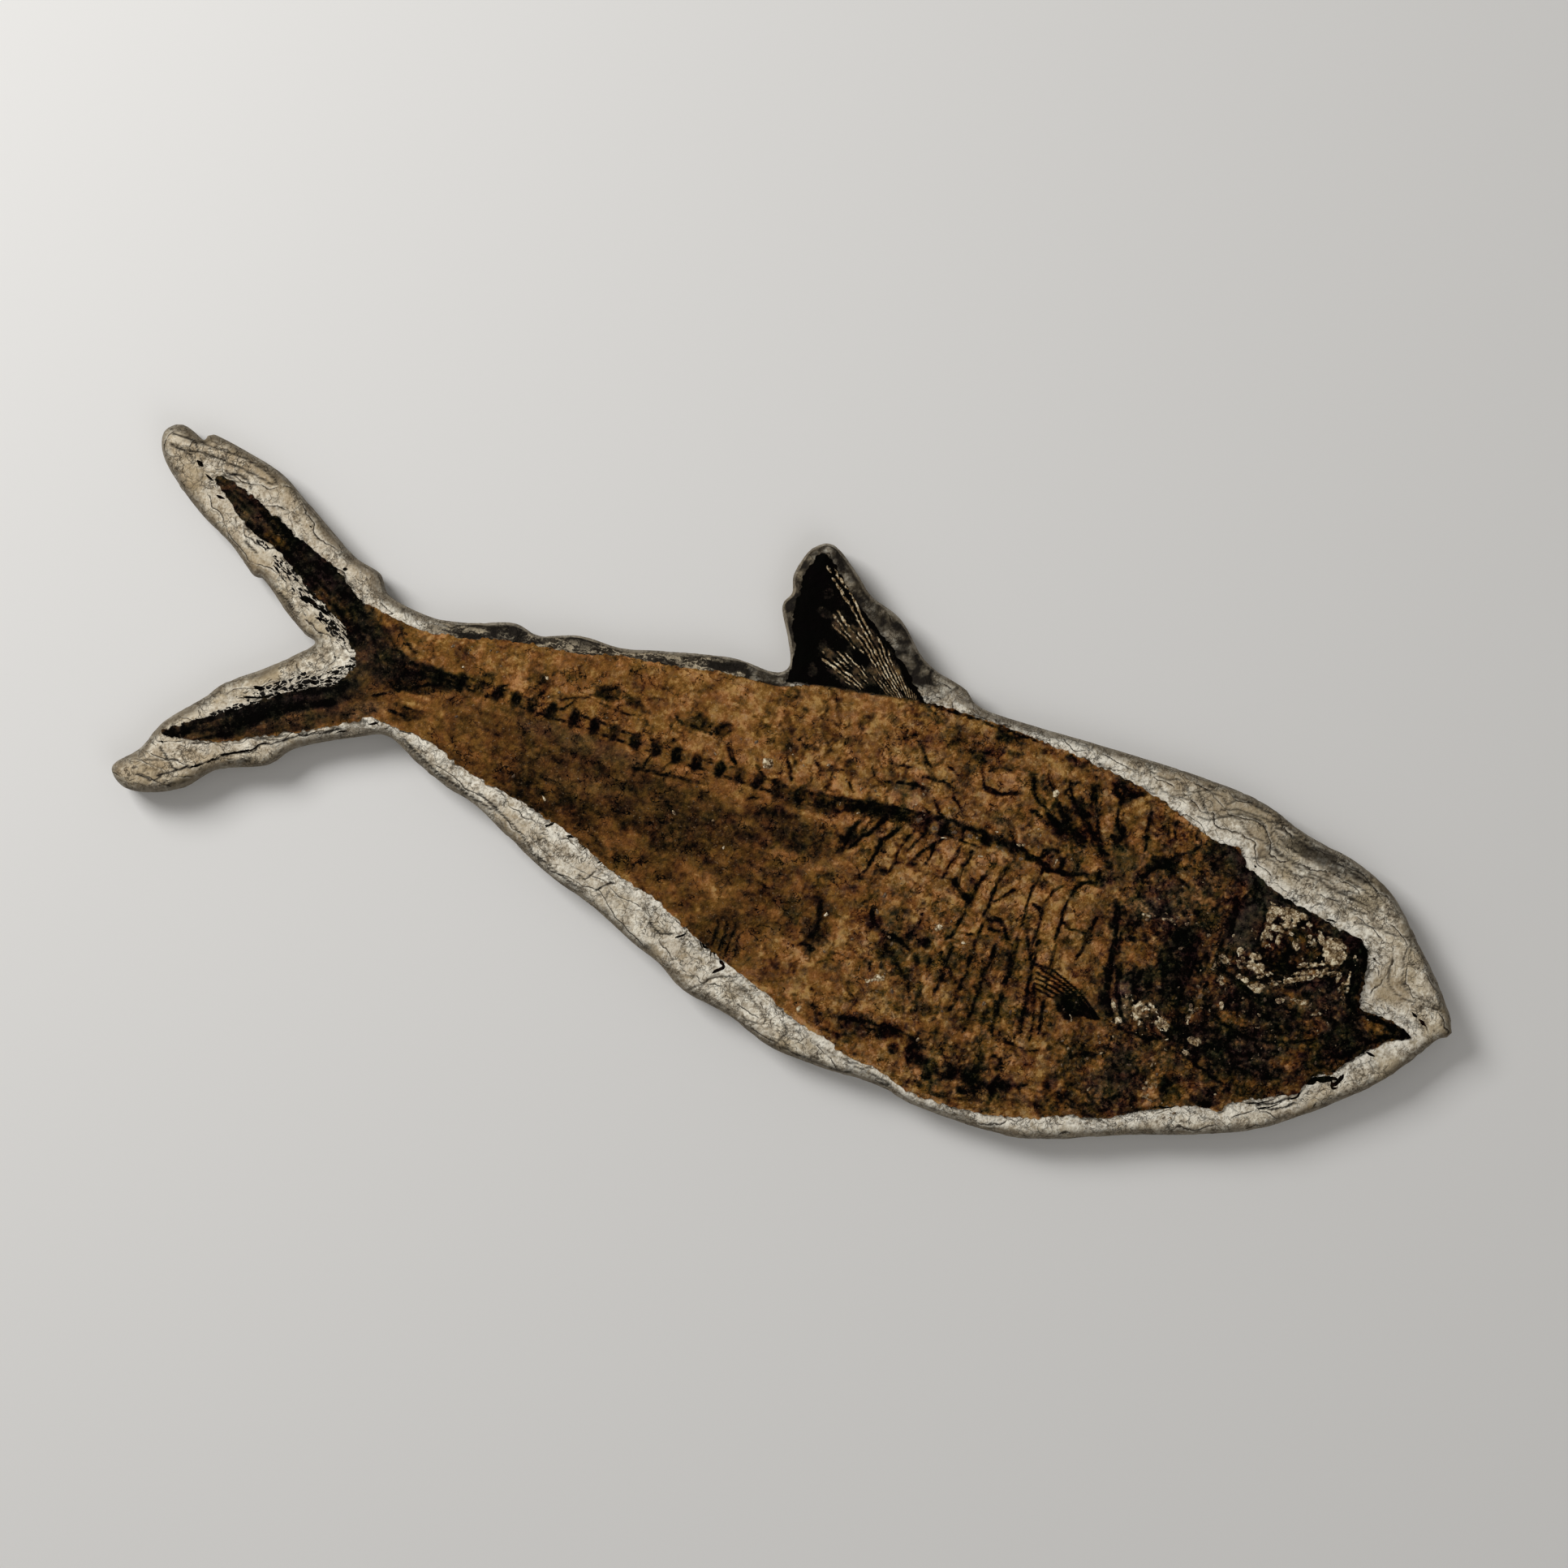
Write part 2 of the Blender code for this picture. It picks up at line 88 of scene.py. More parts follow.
soft_light("key_light", math.radians(140), math.radians(38), 1.4, 0.55, 14.0)
soft_light("fill_light", math.radians(-60), math.radians(50), 1.8, 1.2, 3.3)

world = bpy.data.worlds.new("studio")
world.use_nodes = True
world.node_tree.nodes["Background"].inputs["Color"].default_value = (1.0, 0.98, 0.95, 1.0)
world.node_tree.nodes["Background"].inputs["Strength"].default_value = 0.25
scene.world = world

floor_shape = bmesh.new()
bmesh.ops.create_grid(floor_shape, x_segments=1, y_segments=1, size=FLOOR_SIDE / 2)
floor_mesh = bpy.data.meshes.new("floor")
floor_shape.to_mesh(floor_mesh)
floor_shape.free()
floor = bpy.data.objects.new("floor", floor_mesh)
scene.collection.objects.link(floor)
floor_finish = bpy.data.materials.new("floor")
floor_finish.use_nodes = True
floor_finish.node_tree.nodes["Principled BSDF"].inputs["Base Color"].default_value = FLOOR_COLOUR
floor_finish.node_tree.nodes["Principled BSDF"].inputs["Roughness"].default_value = 0.9
floor_mesh.materials.append(floor_finish)

# Limestone plate: pale lake limestone, split along its beds and trimmed round the fish with a
# saw and chisel, then scraped clean beside the bones, which leaves low terraces, cracks and a
# broken rim. The underside is sawn flat. One piece, standing in for the CAD plate.
PLATE_OUTLINE = (
    (-122, 16.5), (-136, 18.5), (-141, 24), (-150, 26.5), (-160, 32), (-170, 38), (-180, 43.5), (-190, 46),
    (-203, 48), (-206, 45.5), (-213, 47.8), (-218, 44), (-216, 37), (-208, 29.5), (-198, 23), (-187, 17.5),
    (-178, 11), (-174, 10.5), (-165, 4), (-157, -1), (-152.8, -2.5), (-155, -6), (-165, -15.5),
    (-175, -23.5), (-180, -30.5), (-189, -41), (-193, -51), (-199.5, -59), (-195, -64), (-187, -63.5),
    (-177, -58.5), (-169, -50), (-155, -43.5), (-148, -35.5), (-132, -26.5), (-122, -22.8), (-110, -28),
    (-100, -31.7), (-90, -34), (-75, -41), (-60, -47.5), (-45, -52), (-30, -58.5), (-20, -62), (-10, -67.5),
    (5, -70), (20, -75), (38, -76), (55, -75.5), (70, -77.8), (97, -77.5), (113, -73.5), (135, -64.5),
    (155, -57.5), (172, -49.5), (189, -36.5), (204, -22), (214, -7), (218.3, -2.5), (212, 7.5), (200, 20),
    (187, 32), (173, 38), (156, 41), (140, 46), (120, 47.3), (90, 46.5), (55, 45), (46, 46), (42, 49.2),
    (28, 53), (16, 63), (5, 67), (-2, 72.5), (-11, 78), (-17, 75), (-19.8, 66), (-18.5, 60), (-20, 55),
    (-15, 46), (-12, 38.5), (-16, 35), (-30, 34.8), (-50, 30), (-63, 26.5), (-76, 26), (-88, 22), (-97, 23),
    (-110, 18.5),
)
# The edge of the fish's film, which the stone was cleaned up to: along the back, then the belly
BACK_EDGE = (
    (-143, 14), (-125, 11.5), (-112, 13), (-95, 17.5), (-75, 20.5), (-62, 24), (-45, 26.5), (-30, 29.5),
    (-14, 31), (-2, 35), (15, 38), (35, 41.5), (60, 41.8), (85, 40.2), (102, 38), (116, 34), (129, 30),
    (137, 30), (142, 24.5), (152, 21), (162, 18.3), (166, 18.8), (178, 15), (183.5, 13.8), (186, 10.5),
    (187, 3), (187.8, -3), (189.5, -4.7), (200, -5.2), (206.5, -7.5),
)
BELLY_EDGE = (
    (-143, -13), (-128, -18.5), (-110, -20), (-95, -24.8), (-76, -28.5), (-60, -32.5), (-42, -39.7),
    (-28, -43), (-15, -49), (0, -55), (15, -60), (25, -64.5), (35, -66.5), (45, -70), (55, -70.5),
    (66, -74), (88, -73), (103, -69.5), (113, -65), (124, -62.5), (133, -57.5), (143, -52), (152, -49),
    (158, -48.5), (160, -45), (173, -38), (178, -36), (182, -28.5), (187, -25.5), (192, -19), (198, -13),
    (201, -10.5), (206.5, -8.3),
)
UPPER_LOBE_EDGES = (
    ((-131, 12), (-143, 14), (-153, 20.5), (-168, 26.5), (-187, 34.6), (-198, 36.8)),
    ((-131, -3), (-141, -1), (-145, 4.5), (-153, 9), (-163, 14.3), (-170, 19), (-175, 20.8), (-180, 22.3),
        (-186, 25.3), (-190.5, 29), (-194.5, 31.5), (-198, 34.8)),
)
LOWER_LOBE_EDGES = (
    ((-131, -5), (-138, -9), (-146, -15), (-158, -21.5), (-168, -29), (-183, -39.5), (-188.5, -43.5)),
    ((-127, -18.5), (-142, -27), (-157, -34.8), (-172, -41.7), (-188, -45.3)),
)
DORSAL_FIN_EDGES = (
    ((32.5, 40.6), (27, 45), (18, 52.4), (8.2, 58.8), (-5, 68.5), (-11.5, 74.5)),
    ((-11.5, 33), (-12, 43), (-16, 52), (-16.5, 60), (-17, 67), (-14.5, 74)),
)
# Standing and sunken beds outside the fish, as on the CAD plate: height, then the places round
# the bed, x and y in turn
TERRACES = (
    (0.9, (121, 44.5, 122, 40, 126, 37, 135, 40.5, 142, 39.5, 146, 34, 156, 30.5, 168, 27.5, 182, 26,
        190, 26, 184, 31.5, 172, 35.8, 156, 38.7, 140, 43.6)),
    (0.8, (146, 39.5, 150, 36, 160, 33.5, 172, 31.5, 183, 29, 180, 32, 171, 34.4, 156, 37.2)),
    (0.8, (197, 18.5, 196.5, 12, 199, 6.5, 205, 4, 211.5, 3.2, 208, 9.5, 201, 16.5)),
    (0.7, (-205, 44, -213, 45, -215.5, 41.5, -208, 40.5, -203, 41.5, -190, 40.5, -180, 39.5, -183, 41.8,
        -192, 43.8)),
    (0.8, (-184, -52, -176, -49, -164, -43.5, -160, -43.5, -167, -47, -176, -55.5, -186, -61, -194, -61,
        -192, -55)),
    (0.8, (24, -67, 40, -71, 58, -73.5, 56, -74.2, 39, -74.6, 24, -73.4, 21, -70)),
    (-0.8, (-6, -65, -2, -59.5, 6, -60.5, 14, -65.5, 16, -69, 8, -68.8, -1, -67.3)),
)
# Cracks and scattered bits of bone on the stone: half widths at the ends, then the places, x and
# y in turn
STONE_INK = (
    (0.35, 0.3, (-185, -57, -178, -52.5, -175, -50.5, -170, -47, -168, -44.5, -165, -43, -160, -40.5,
        -158, -37.5, -155, -36.8, -153.3, -35.5, -150, -32.5, -145, -30, -140, -27.5, -136, -25)),
    (0.4, 0.4, (-152, 0.8, -151.5, 0.2)), (0.45, 0.35, (-195, 38, -189, 38.2, -186.5, 35.5)),
    (0.35, 0.3, (-214, 40.5, -208, 39.5, -206, 37.5)), (0.35, 0.25, (-214.5, 44, -208, 43.5, -205.5, 41)),
    (0.4, 0.3, (-183, 20, -178.5, 17.5)), (0.3, 0.25, (-168, 8.5, -162.5, 5)),
    (0.35, 0.3, (-191, -58.5, -186, -59, -184, -56.8)), (0.35, 0.3, (-187, -49, -180, -53.5, -177, -51)),
    (0.4, 0.3, (168, -42.8, 173, -40.5, 177, -37.5)), (0.35, 0.3, (170, -43.5, 175, -41.5, 179, -38.5)),
    (0.35, 0.3, (-27, -50.5, -23, -52.8, -19, -51.5)), (0.3, 0.25, (-52.5, -43.5, -50, -44.5, -48, -41)),
    (0.35, 0.3, (-46, -46.5, -43, -43.5, -41, -42.5)), (0.4, 0.3, (158, 21, 159.5, 20)),
    (0.3, 0.25, (-117, -22, -108, -26.5, -100, -29.5, -92, -31.8, -83, -33.5)),
    (0.3, 0.25, (-90, -30, -84, -32.5, -77, -36, -72, -38.5, -68, -42, -61, -44.5, -52, -47.5)),
)
# Beds' edges drawn as thin dark lines of painted shadow, where no terrace stands
BED_LINES = (
    (122, 35, 126, 35.6, 129, 37.4, 133, 38.8, 136, 37.2, 140, 34.8, 144, 34.2, 150, 31.6),
    (118, 42, 122, 43.6, 127, 43.4, 129, 41.6, 132, 44, 135, 45),
    (128, 39.6, 133, 41, 139, 41.2, 144, 40.6, 145.5, 36.5, 148, 33.5, 154, 31.5, 162, 30, 168, 27.2),
    (144, 41.2, 149, 41.4, 152, 39.8), (142, 28.5, 145, 29.8, 149, 29.4, 152, 28),
    (152, 29.4, 157, 28, 163, 28.8, 167, 27.4, 170, 25, 175, 23.8, 181, 24),
    (170, 27.2, 175, 28.4, 180, 26.8, 182.5, 25, 183.5, 22.5), (182, 30.5, 182.5, 28, 185, 25.5),
    (180, 20.5, 190, 20.5, 196, 20.5, 197.5, 16, 200, 13),
    (196, 15, 198, 8, 204, 5, 210, 4, 213, 2, 214, -1), (145, 41, 150, 39, 158, 38.5),
    (193, 11, 194, 6, 198, 3.5, 204, 2.5), (160, 30, 167, 29.5, 170, 27.5, 176, 27),
    (-9, -66.5, -5, -62.5, -1, -59.5, 5, -57), (22, -66, 24, -69, 22, -73),
    (103, 44, 109, 42.5, 113, 44, 117, 41.5, 119, 38), (108, 40, 112, 38.5, 117, 39, 121, 36.5),
)
# Where black chips of the tail's rays are pressed into the stone: half widths, then the places
CHIPPED = (
    (3.2, 2.8, (-164, 14, -157, 9, -150, 4.8, -145, 1)), (1.5, 1.3, (-179, 21.5, -171, 17, -164, 13.5)),
    (2.8, 3.2, (-162, -22.5, -155, -17.5, -149, -14, -141, -9.5)),
    (1.2, 1.5, (-185, -43.5, -174, -33.5, -162, -24)), (1.6, 1.6, (-141.5, 2, -140, -4, -140.5, -9)),
)
# Stained spots of the stone: place and reach
STAINS = (
    (192, 5, 8), (-172, -48, 9), (-50, -41.5, 4), (127, 41, 5), (135, 44, 4), (143, 37.5, 5),
    (148, 41, 3.5), (-146, 21, 7), (-160, 27.5, 7), (-175, 33.5, 7), (-192, 41, 7), (-210, 41, 5),
)
# A coarse grid, whose squares near the stone's open face are cut up; a little more than half a
# square's diagonal tells which squares reach over an outline
STONE_CELL = 4.4
STONE_CUTS = 7
HALF_DIAGONAL = 0.72
RIM_BREAK = 1.1
RIM_ROUGH = 0.5
RIM_DROP = 1.2
RIM_REACH = 3.2
BED_STEP = 0.26
LEDGE_ROUGH = 0.45
FISH_BED_DROP = 0.45
# The broken side wall: height of each bed's edge and how far it lies back from the widest one
WALL = (
    (10.6, 0.75), (9.8, 0.5), (9.4, 0.1), (8.4, 0.0), (7.5, 0.12), (7.2, 0.5), (6.3, 0.35), (5.5, 0.45),
    (5.2, 0.15), (4.3, 0.05), (3.5, 0.3), (3.2, 0.95), (2.2, 0.8), (1.3, 1.1), (1.0, 1.5), (0.0, 1.7),
)


def smooth_line(points, step, closed=False):
    """Places about one step apart on a smooth curve through the given ones."""
    knots = np.array(points, float).reshape(-1, 2)
    if closed:
        knots = np.vstack([knots[-1:], knots, knots[:2]])
    else:
        knots = np.vstack([2 * knots[0] - knots[1], knots, 2 * knots[-1] - knots[-2]])
    t = np.linspace(0, 1, 24, endpoint=False)[:, None]
    spans = [(2 * b + (c - a) * t + (2 * a - 5 * b + 4 * c - d) * t ** 2
              + (3 * b - a - 3 * c + d) * t ** 3) / 2
             for a, b, c, d in zip(knots, knots[1:], knots[2:], knots[3:])]
    curve = np.vstack(spans + [knots[-2:-1]])
    runs = np.concatenate([[0], np.cumsum(np.hypot(*np.diff(curve, axis=0).T))])
    even = np.linspace(0, runs[-1], max(2, round(runs[-1] / step)) + 1)
    line = np.column_stack([np.interp(even, runs, curve[:, 0]), np.interp(even, runs, curve[:, 1])])
    return line[:-1] if closed else line


def chance(i, j, seed):
    """A fixed random number from 0 to 1 for each cell."""
    wave = np.sin(i * 127.1 + j * 311.7 + seed * 74.7) * 43758.5453
    return wave - np.floor(wave)


def cloud(x, y, size, seed, octaves=3):
    """Smooth noise from -1 to 1, in blotches of about the given size; the seed picks the pattern."""
    total = 0.0
    weight = 1.0
    for octave in range(octaves):
        turn = 0.7 + 1.1 * octave + seed
        u = (x * math.cos(turn) - y * math.sin(turn)) / size
        v = (x * math.sin(turn) + y * math.cos(turn)) / size
        i, j = np.floor(u), np.floor(v)
        s, t = u - i, v - j
        s, t = s * s * (3 - 2 * s), t * t * (3 - 2 * t)
        low = chance(i, j, seed) * (1 - s) + chance(i + 1, j, seed) * s
        high = chance(i, j + 1, seed) * (1 - s) + chance(i + 1, j + 1, seed) * s
        total = total + weight * (2 * (low * (1 - t) + high * t) - 1)
        weight *= 0.5
        size *= 0.5
    return total / (2 - 2 * weight)


def cells(x, y, size, seed):
    """The nearest of scattered points: how far it is, how much farther the next, and its own chance."""
    u, v = x / size, y / size
    i, j = np.floor(u), np.floor(v)
    first = np.full(x.shape, 9.0)
    second, pick = first.copy(), first.copy()
    for di in (-1, 0, 1):
        for dj in (-1, 0, 1):
            gap = np.hypot(i + di + chance(i + di, j + dj, seed) - u,
                           j + dj + chance(i + di, j + dj, seed + 5) - v)
            second = np.minimum(second, np.maximum(first, gap))
            pick = np.where(gap < first, chance(i + di, j + dj, seed + 9), pick)
            first = np.minimum(first, gap)
    return first, second - first, pick


def fade(value, start, end):
    """0 at start, 1 at end, eased between."""
    t = np.clip((value - start) / (end - start), 0, 1)
    return t * t * (3 - 2 * t)


def nearest_tree(spots):
    """Finds which of many places lies nearest, seen from above."""
    tree = kdtree.KDTree(len(spots))
    for i, place in enumerate(spots):
        tree.insert((place[0], place[1], 0), i)
    tree.balance()
    return tree


def distance_to(outline):
    """A function that gives the distance outside a closed outline, negative inside."""
    along = np.roll(outline, -1, 0) - np.roll(outline, 1, 0)
    area = np.sum(outline[:, 0] * along[:, 1] - outline[:, 1] * along[:, 0])
    outward = np.column_stack([along[:, 1], -along[:, 0]]) * np.sign(area)
    tree = nearest_tree(outline)

    def distance(x, y):
        found = [tree.find((a, b, 0)) for a, b in zip(x, y)]
        index = np.array([hit[1] for hit in found])
        gap = np.array([hit[2] for hit in found])
        side = (x - outline[index, 0]) * outward[index, 0] + (y - outline[index, 1]) * outward[index, 1]
        return np.where(side > 0, gap, -gap)

    return distance


def gap_to(x, y, path, start_width, end_width):
    """How many half widths away a tapering line is, up to 9."""
    line = smooth_line(path, 1.2)
    gap = np.full(x.shape, 9.0)
    reach = 4 * max(start_width, end_width)
    near = ((x > line[:, 0].min() - reach) & (x < line[:, 0].max() + reach)
            & (y > line[:, 1].min() - reach) & (y < line[:, 1].max() + reach))
    u, v = x[near], y[near]
    nearest = gap[near]
    for i, (a, b) in enumerate(zip(line, line[1:])):
        run = b - a
        share = np.clip(((u - a[0]) * run[0] + (v - a[1]) * run[1]) / (run @ run), 0, 1)
        width = start_width + (end_width - start_width) * (i + share) / (len(line) - 1)
        nearest = np.minimum(nearest, np.hypot(u - a[0] - share * run[0], v - a[1] - share * run[1]) / width)
    gap[near] = nearest
    return gap


def streak(x, y, path, start_width, end_width):
    """How strongly a tapering line marks each place: 1 along its middle, 0 past its width."""
    return fade(gap_to(x, y, path, start_width, end_width), 1.35, 0.6)


def paint(mesh, name, values):
    layer = mesh.attributes.new(name, "FLOAT", "POINT")
    layer.data.foreach_set("value", np.asarray(values, np.float32))


FORK_LINE = smooth_line(
    ((-143, -12.5), (-140.5, -9.5), (-138.5, -5.5), (-139.5, -1), (-141.5, 4), (-143, 13.5)), 0.4)
fish_parts = [
    np.vstack([FORK_LINE, smooth_line(BACK_EDGE, 0.4), smooth_line(BELLY_EDGE, 0.4)[::-1]]),
    *(np.vstack([smooth_line(first, 0.4), smooth_line(second, 0.4)[::-1]])
      for first, second in (UPPER_LOBE_EDGES, LOWER_LOBE_EDGES, DORSAL_FIN_EDGES)),
]
fish_distances = [distance_to(part) for part in fish_parts]


def outside_fish(x, y):
    return np.minimum.reduce([distance(x, y) for distance in fish_distances])


# The widest edge, fitted to the CAD plate's box and left slightly ragged
edge = smooth_line(PLATE_OUTLINE, 0.35, closed=True)
for axis in (0, 1):
    low, high = edge[:, axis].min(), edge[:, axis].max()
    edge[:, axis] = np.interp(edge[:, axis], (low, high), (stone_low[axis], stone_high[axis]))
tangent = np.roll(edge, -2, 0) - np.roll(edge, 2, 0)
edge_inward = np.column_stack([-tangent[:, 1], tangent[:, 0]]) / np.hypot(*tangent.T)[:, None]


def set_back(depth, rough, size, seed):
    """The widest edge moved inwards by a depth that wavers along it."""
    waver = cloud(edge[:, 0], edge[:, 1], size, seed)
    return edge + edge_inward * np.maximum(depth + rough * waver, 0.0)[:, None]


def nearest_on(outline):
    """A function that finds which place of an outline is the nearest."""
    tree = nearest_tree(outline)
    return lambda place: tree.find((place[0], place[1], 0))[1]


def trimmed_sheet(outline, cell, cuts=0, refined=None):
    """A flat grid cut along an outline, its edge pulled onto it; refined picks the squares to cut up."""
    distance = distance_to(outline)
    low, high = outline.min(0), outline.max(0)
    columns, rows = (int(count) for count in np.ceil((high - low) / cell))
    sheet = bmesh.new()
    bmesh.ops.create_grid(sheet, x_segments=columns, y_segments=rows, size=1.0,
                          matrix=Matrix.Translation((*(low + high) / 2, 0))
                          @ Matrix.Diagonal((columns * cell / 2, rows * cell / 2, 1, 1)))
    middles = np.array([face.calc_center_median()[:2] for face in sheet.faces])
    out = distance(*middles.T) > cell * HALF_DIAGONAL
    beyond = [face for face, gone in zip(list(sheet.faces), out) if gone]
    bmesh.ops.delete(sheet, geom=beyond, context="FACES")
    grain = cell / (cuts + 1)
    if cuts:
        chosen = refined(*middles[~out].T)
        edges = {edge for face, fine in zip(list(sheet.faces), chosen) if fine for edge in face.edges}
        bmesh.ops.subdivide_edges(sheet, edges=list(edges), cuts=cuts, use_grid_fill=True)
    sheet.verts.index_update()
    spots = np.array([vert.co[:2] for vert in sheet.verts])
    past = distance(*spots.T) > 0.45 * grain
    loose = [face for face in sheet.faces if any(past[vert.index] for vert in face.verts)]
    bmesh.ops.delete(sheet, geom=loose, context="FACES")
    nearest = nearest_on(outline)
    on_edge = [vert for vert in sheet.verts if vert.is_boundary]
    for vert in on_edge:
        vert.co.xy = outline[nearest(vert.co)]
    bmesh.ops.remove_doubles(sheet, verts=on_edge, dist=0.2 * grain)
    bmesh.ops.dissolve_degenerate(sheet, edges=sheet.edges, dist=0.02)
    bmesh.ops.recalc_face_normals(sheet, faces=sheet.faces)
    if sum(face.normal.z for face in sheet.faces) < 0:
        bmesh.ops.reverse_faces(sheet, faces=sheet.faces)
    return sheet


TOP_FLAG = 100.0


def close_below(sheet, heights, moved_to=None):
    """Turns the sheet's edge down through the heights and closes it; its face waits at TOP_FLAG."""
    for vert in sheet.verts:
        vert.co.z = TOP_FLAG
    hem = [edge for edge in sheet.edges if edge.is_boundary]
    sources = {vert: tuple(vert.co.xy) for edge in hem for vert in edge.verts}
    for level, height in enumerate(heights):
        turned = bmesh.ops.extrude_edge_only(sheet, edges=hem)["geom"]
        hem = [item for item in turned if isinstance(item, bmesh.types.BMEdge)]
        fresh = {vert for edge in hem for vert in edge.verts}
        for vert in fresh:
            linked = [edge.other_vert(vert) for edge in vert.link_edges]
            above = next(other for other in linked if other not in fresh)
            sources[vert] = sources[above]
            vert.co = (*(moved_to(level, sources[vert]) if moved_to else vert.co.xy), height)
    bmesh.ops.holes_fill(sheet, edges=[edge for edge in sheet.edges if edge.is_boundary], sides=0)
    bmesh.ops.recalc_face_normals(sheet, faces=sheet.faces)


def places(mesh):
    """The mesh's vertices in millimetres, and which of them lie on its top."""
    spots = np.empty(len(mesh.vertices) * 3)
    mesh.vertices.foreach_get("co", spots)
    spots = spots.reshape(-1, 3)
    return spots, spots[:, 2] > TOP_FLAG / 2


rim = set_back(RIM_BREAK, 2 * RIM_ROUGH, 5.0, 11)
rim_distance = distance_to(rim)
rim_index = nearest_on(rim)
ledges = [set_back(depth, LEDGE_ROUGH, 6.0 if bed % 2 else 3.5, 20 + bed // 2)
          for bed, (height, depth) in enumerate(WALL)]
stone = trimmed_sheet(rim, STONE_CELL, STONE_CUTS,
                      lambda x, y: outside_fish(x, y) > -STONE_CELL * HALF_DIAGONAL - 1.2)
close_below(stone, [height for height, depth in WALL], lambda bed, place: ledges[bed][rim_index(place)])
stone_mesh = bpy.data.meshes.new("limestone_plate")
stone.to_mesh(stone_mesh)
stone.free()

spots, on_top = places(stone_mesh)
x, y = spots[on_top, 0], spots[on_top, 1]
from_rim = -rim_distance(x, y)
from_fish = outside_fish(x, y)
bent_x = x + 0.5 * cloud(x, y, 2.4, 31)
bent_y = y + 0.5 * cloud(x, y, 2.4, 32)

beds = np.maximum(from_fish, 0) / 5.8 + 1.1 * cloud(x, y, 17, 33) + 0.2 * cloud(x, y, 4, 34, 4)
bed_share = beds - np.floor(beds)
broken = fade(cloud(x, y, 9, 35), -0.35, 0.15)
# a painted shadow line along each bed's small step
bed_step_shadow = fade(bed_share, 0.88, 0.98) * broken
height = BED_STEP * (np.floor(beds) + fade(bed_share, 0.8, 1.0))
marks_and_shadow_lines = 0.25 * bed_step_shadow * fade(from_fish, 0.8, 2.5)
for rise, outline in TERRACES:
    gap = distance_to(smooth_line(outline, 0.4, closed=True))(bent_x, bent_y)
    height += rise * fade(gap, 0.3, -0.3)
    # a painted shadow line along the terrace's edge
    marks_and_shadow_lines = np.maximum(marks_and_shadow_lines, 0.85 * fade(np.abs(gap - 0.15), 0.5, 0.1) * broken)
# painted shadow lines where beds' edges stand without a terrace
for path in BED_LINES:
    marks_and_shadow_lines = np.maximum(marks_and_shadow_lines, 0.75 * streak(bent_x, bent_y, path, 0.3, 0.25))
for start_width, end_width, path in STONE_INK:
    marks_and_shadow_lines = np.maximum(marks_and_shadow_lines, streak(bent_x, bent_y, path, start_width, end_width))
veins = fade(np.abs(cloud(x, y, 7, 36, 2)), 0.035, 0.0) * fade(cloud(x, y, 14, 37), 0.0, 0.3)
marks_and_shadow_lines = np.maximum(marks_and_shadow_lines, 0.6 * veins * fade(from_fish, 0.5, 1.5))
lumps, seams = cells(bent_x, bent_y, 3.2, 38)[:2]
crumbs = fade(seams, 0.10, 0.02) * fade(cloud(x, y, 6, 45), 0.0, 0.4)
marks_and_shadow_lines = np.maximum(marks_and_shadow_lines, (0.5 - 0.3 * fade(x, 110, 130)) * crumbs * fade(from_fish, 0.3, 1.5))
# the dark line that the film's edge leaves in the stone, and thin curled lines beside it
edge_line = fade(np.abs(from_fish - 0.5 - 0.5 * cloud(x, y, 1.5, 48)), 0.5, 0.15)
edge_line *= fade(cloud(x, y, 3.5, 49), 0.0, 0.3)
curled = fade(np.abs(cloud(bent_x, bent_y, 5.0, 50, 3)), 0.05, 0.01) * fade(cloud(x, y, 8, 51), -0.1, 0.25)
marks_and_shadow_lines = np.maximum(marks_and_shadow_lines, np.maximum(0.85 * edge_line, 0.5 * curled * fade(from_fish, 0.3, 1.5)))
height += 0.22 * cloud(x, y, 9, 39) + 0.42 * (0.5 - lumps) * fade(cloud(x, y, 20, 40), -0.3, 0.3)
height += 0.20 * cloud(x, y, 1.8, 41) - 0.25 * marks_and_shadow_lines
height *= fade(from_fish, -0.2, 1.2)
height -= RIM_DROP * (1 - np.clip(from_rim / RIM_REACH, 0, 1)) ** 2
height -= FISH_BED_DROP * fade(from_fish, 0.1, -1.2)
spots[on_top, 2] = STONE_TOP + height
stone_surface = spots[on_top].copy()

side = ~on_top & (spots[:, 2] > 0.05)
spots[side, 2] += 0.18 * cloud(spots[side, 0], spots[side, 1], 5, 42)
for axis in (0, 1):
    spots[side, axis] = np.clip(spots[side, axis], stone_low[axis] + 0.02, stone_high[axis] - 0.02)
stone_mesh.vertices.foreach_set("co", (spots * MM).ravel())

# the stone's dark marks, with the painted shadow lines at the beds' steps among them
all_marks_and_shadow_lines = np.zeros(len(spots))
all_marks_and_shadow_lines[on_top] = marks_and_shadow_lines
stain = np.zeros(len(spots))
stain[on_top] = fade(cloud(x, y, 11, 43), -0.1, 0.6) * fade(from_fish, 2, 7) + 0.3 * fade(from_fish, 1.2, 0.0)
for middle_x, middle_y, reach in STAINS:
    patch = np.hypot(x - middle_x, y - middle_y) / reach + 0.3 * cloud(x, y, 3, 53)
    stain[on_top] = np.maximum(stain[on_top], 0.7 * fade(patch, 1.2, 0.5))
tail_stain = (0.34 + 0.14 * fade(x, -180, -190)) * fade(x, -140, -160) * (1 + 0.6 * cloud(x, y, 4, 53))
stain[on_top] = np.maximum(stain[on_top], tail_stain)
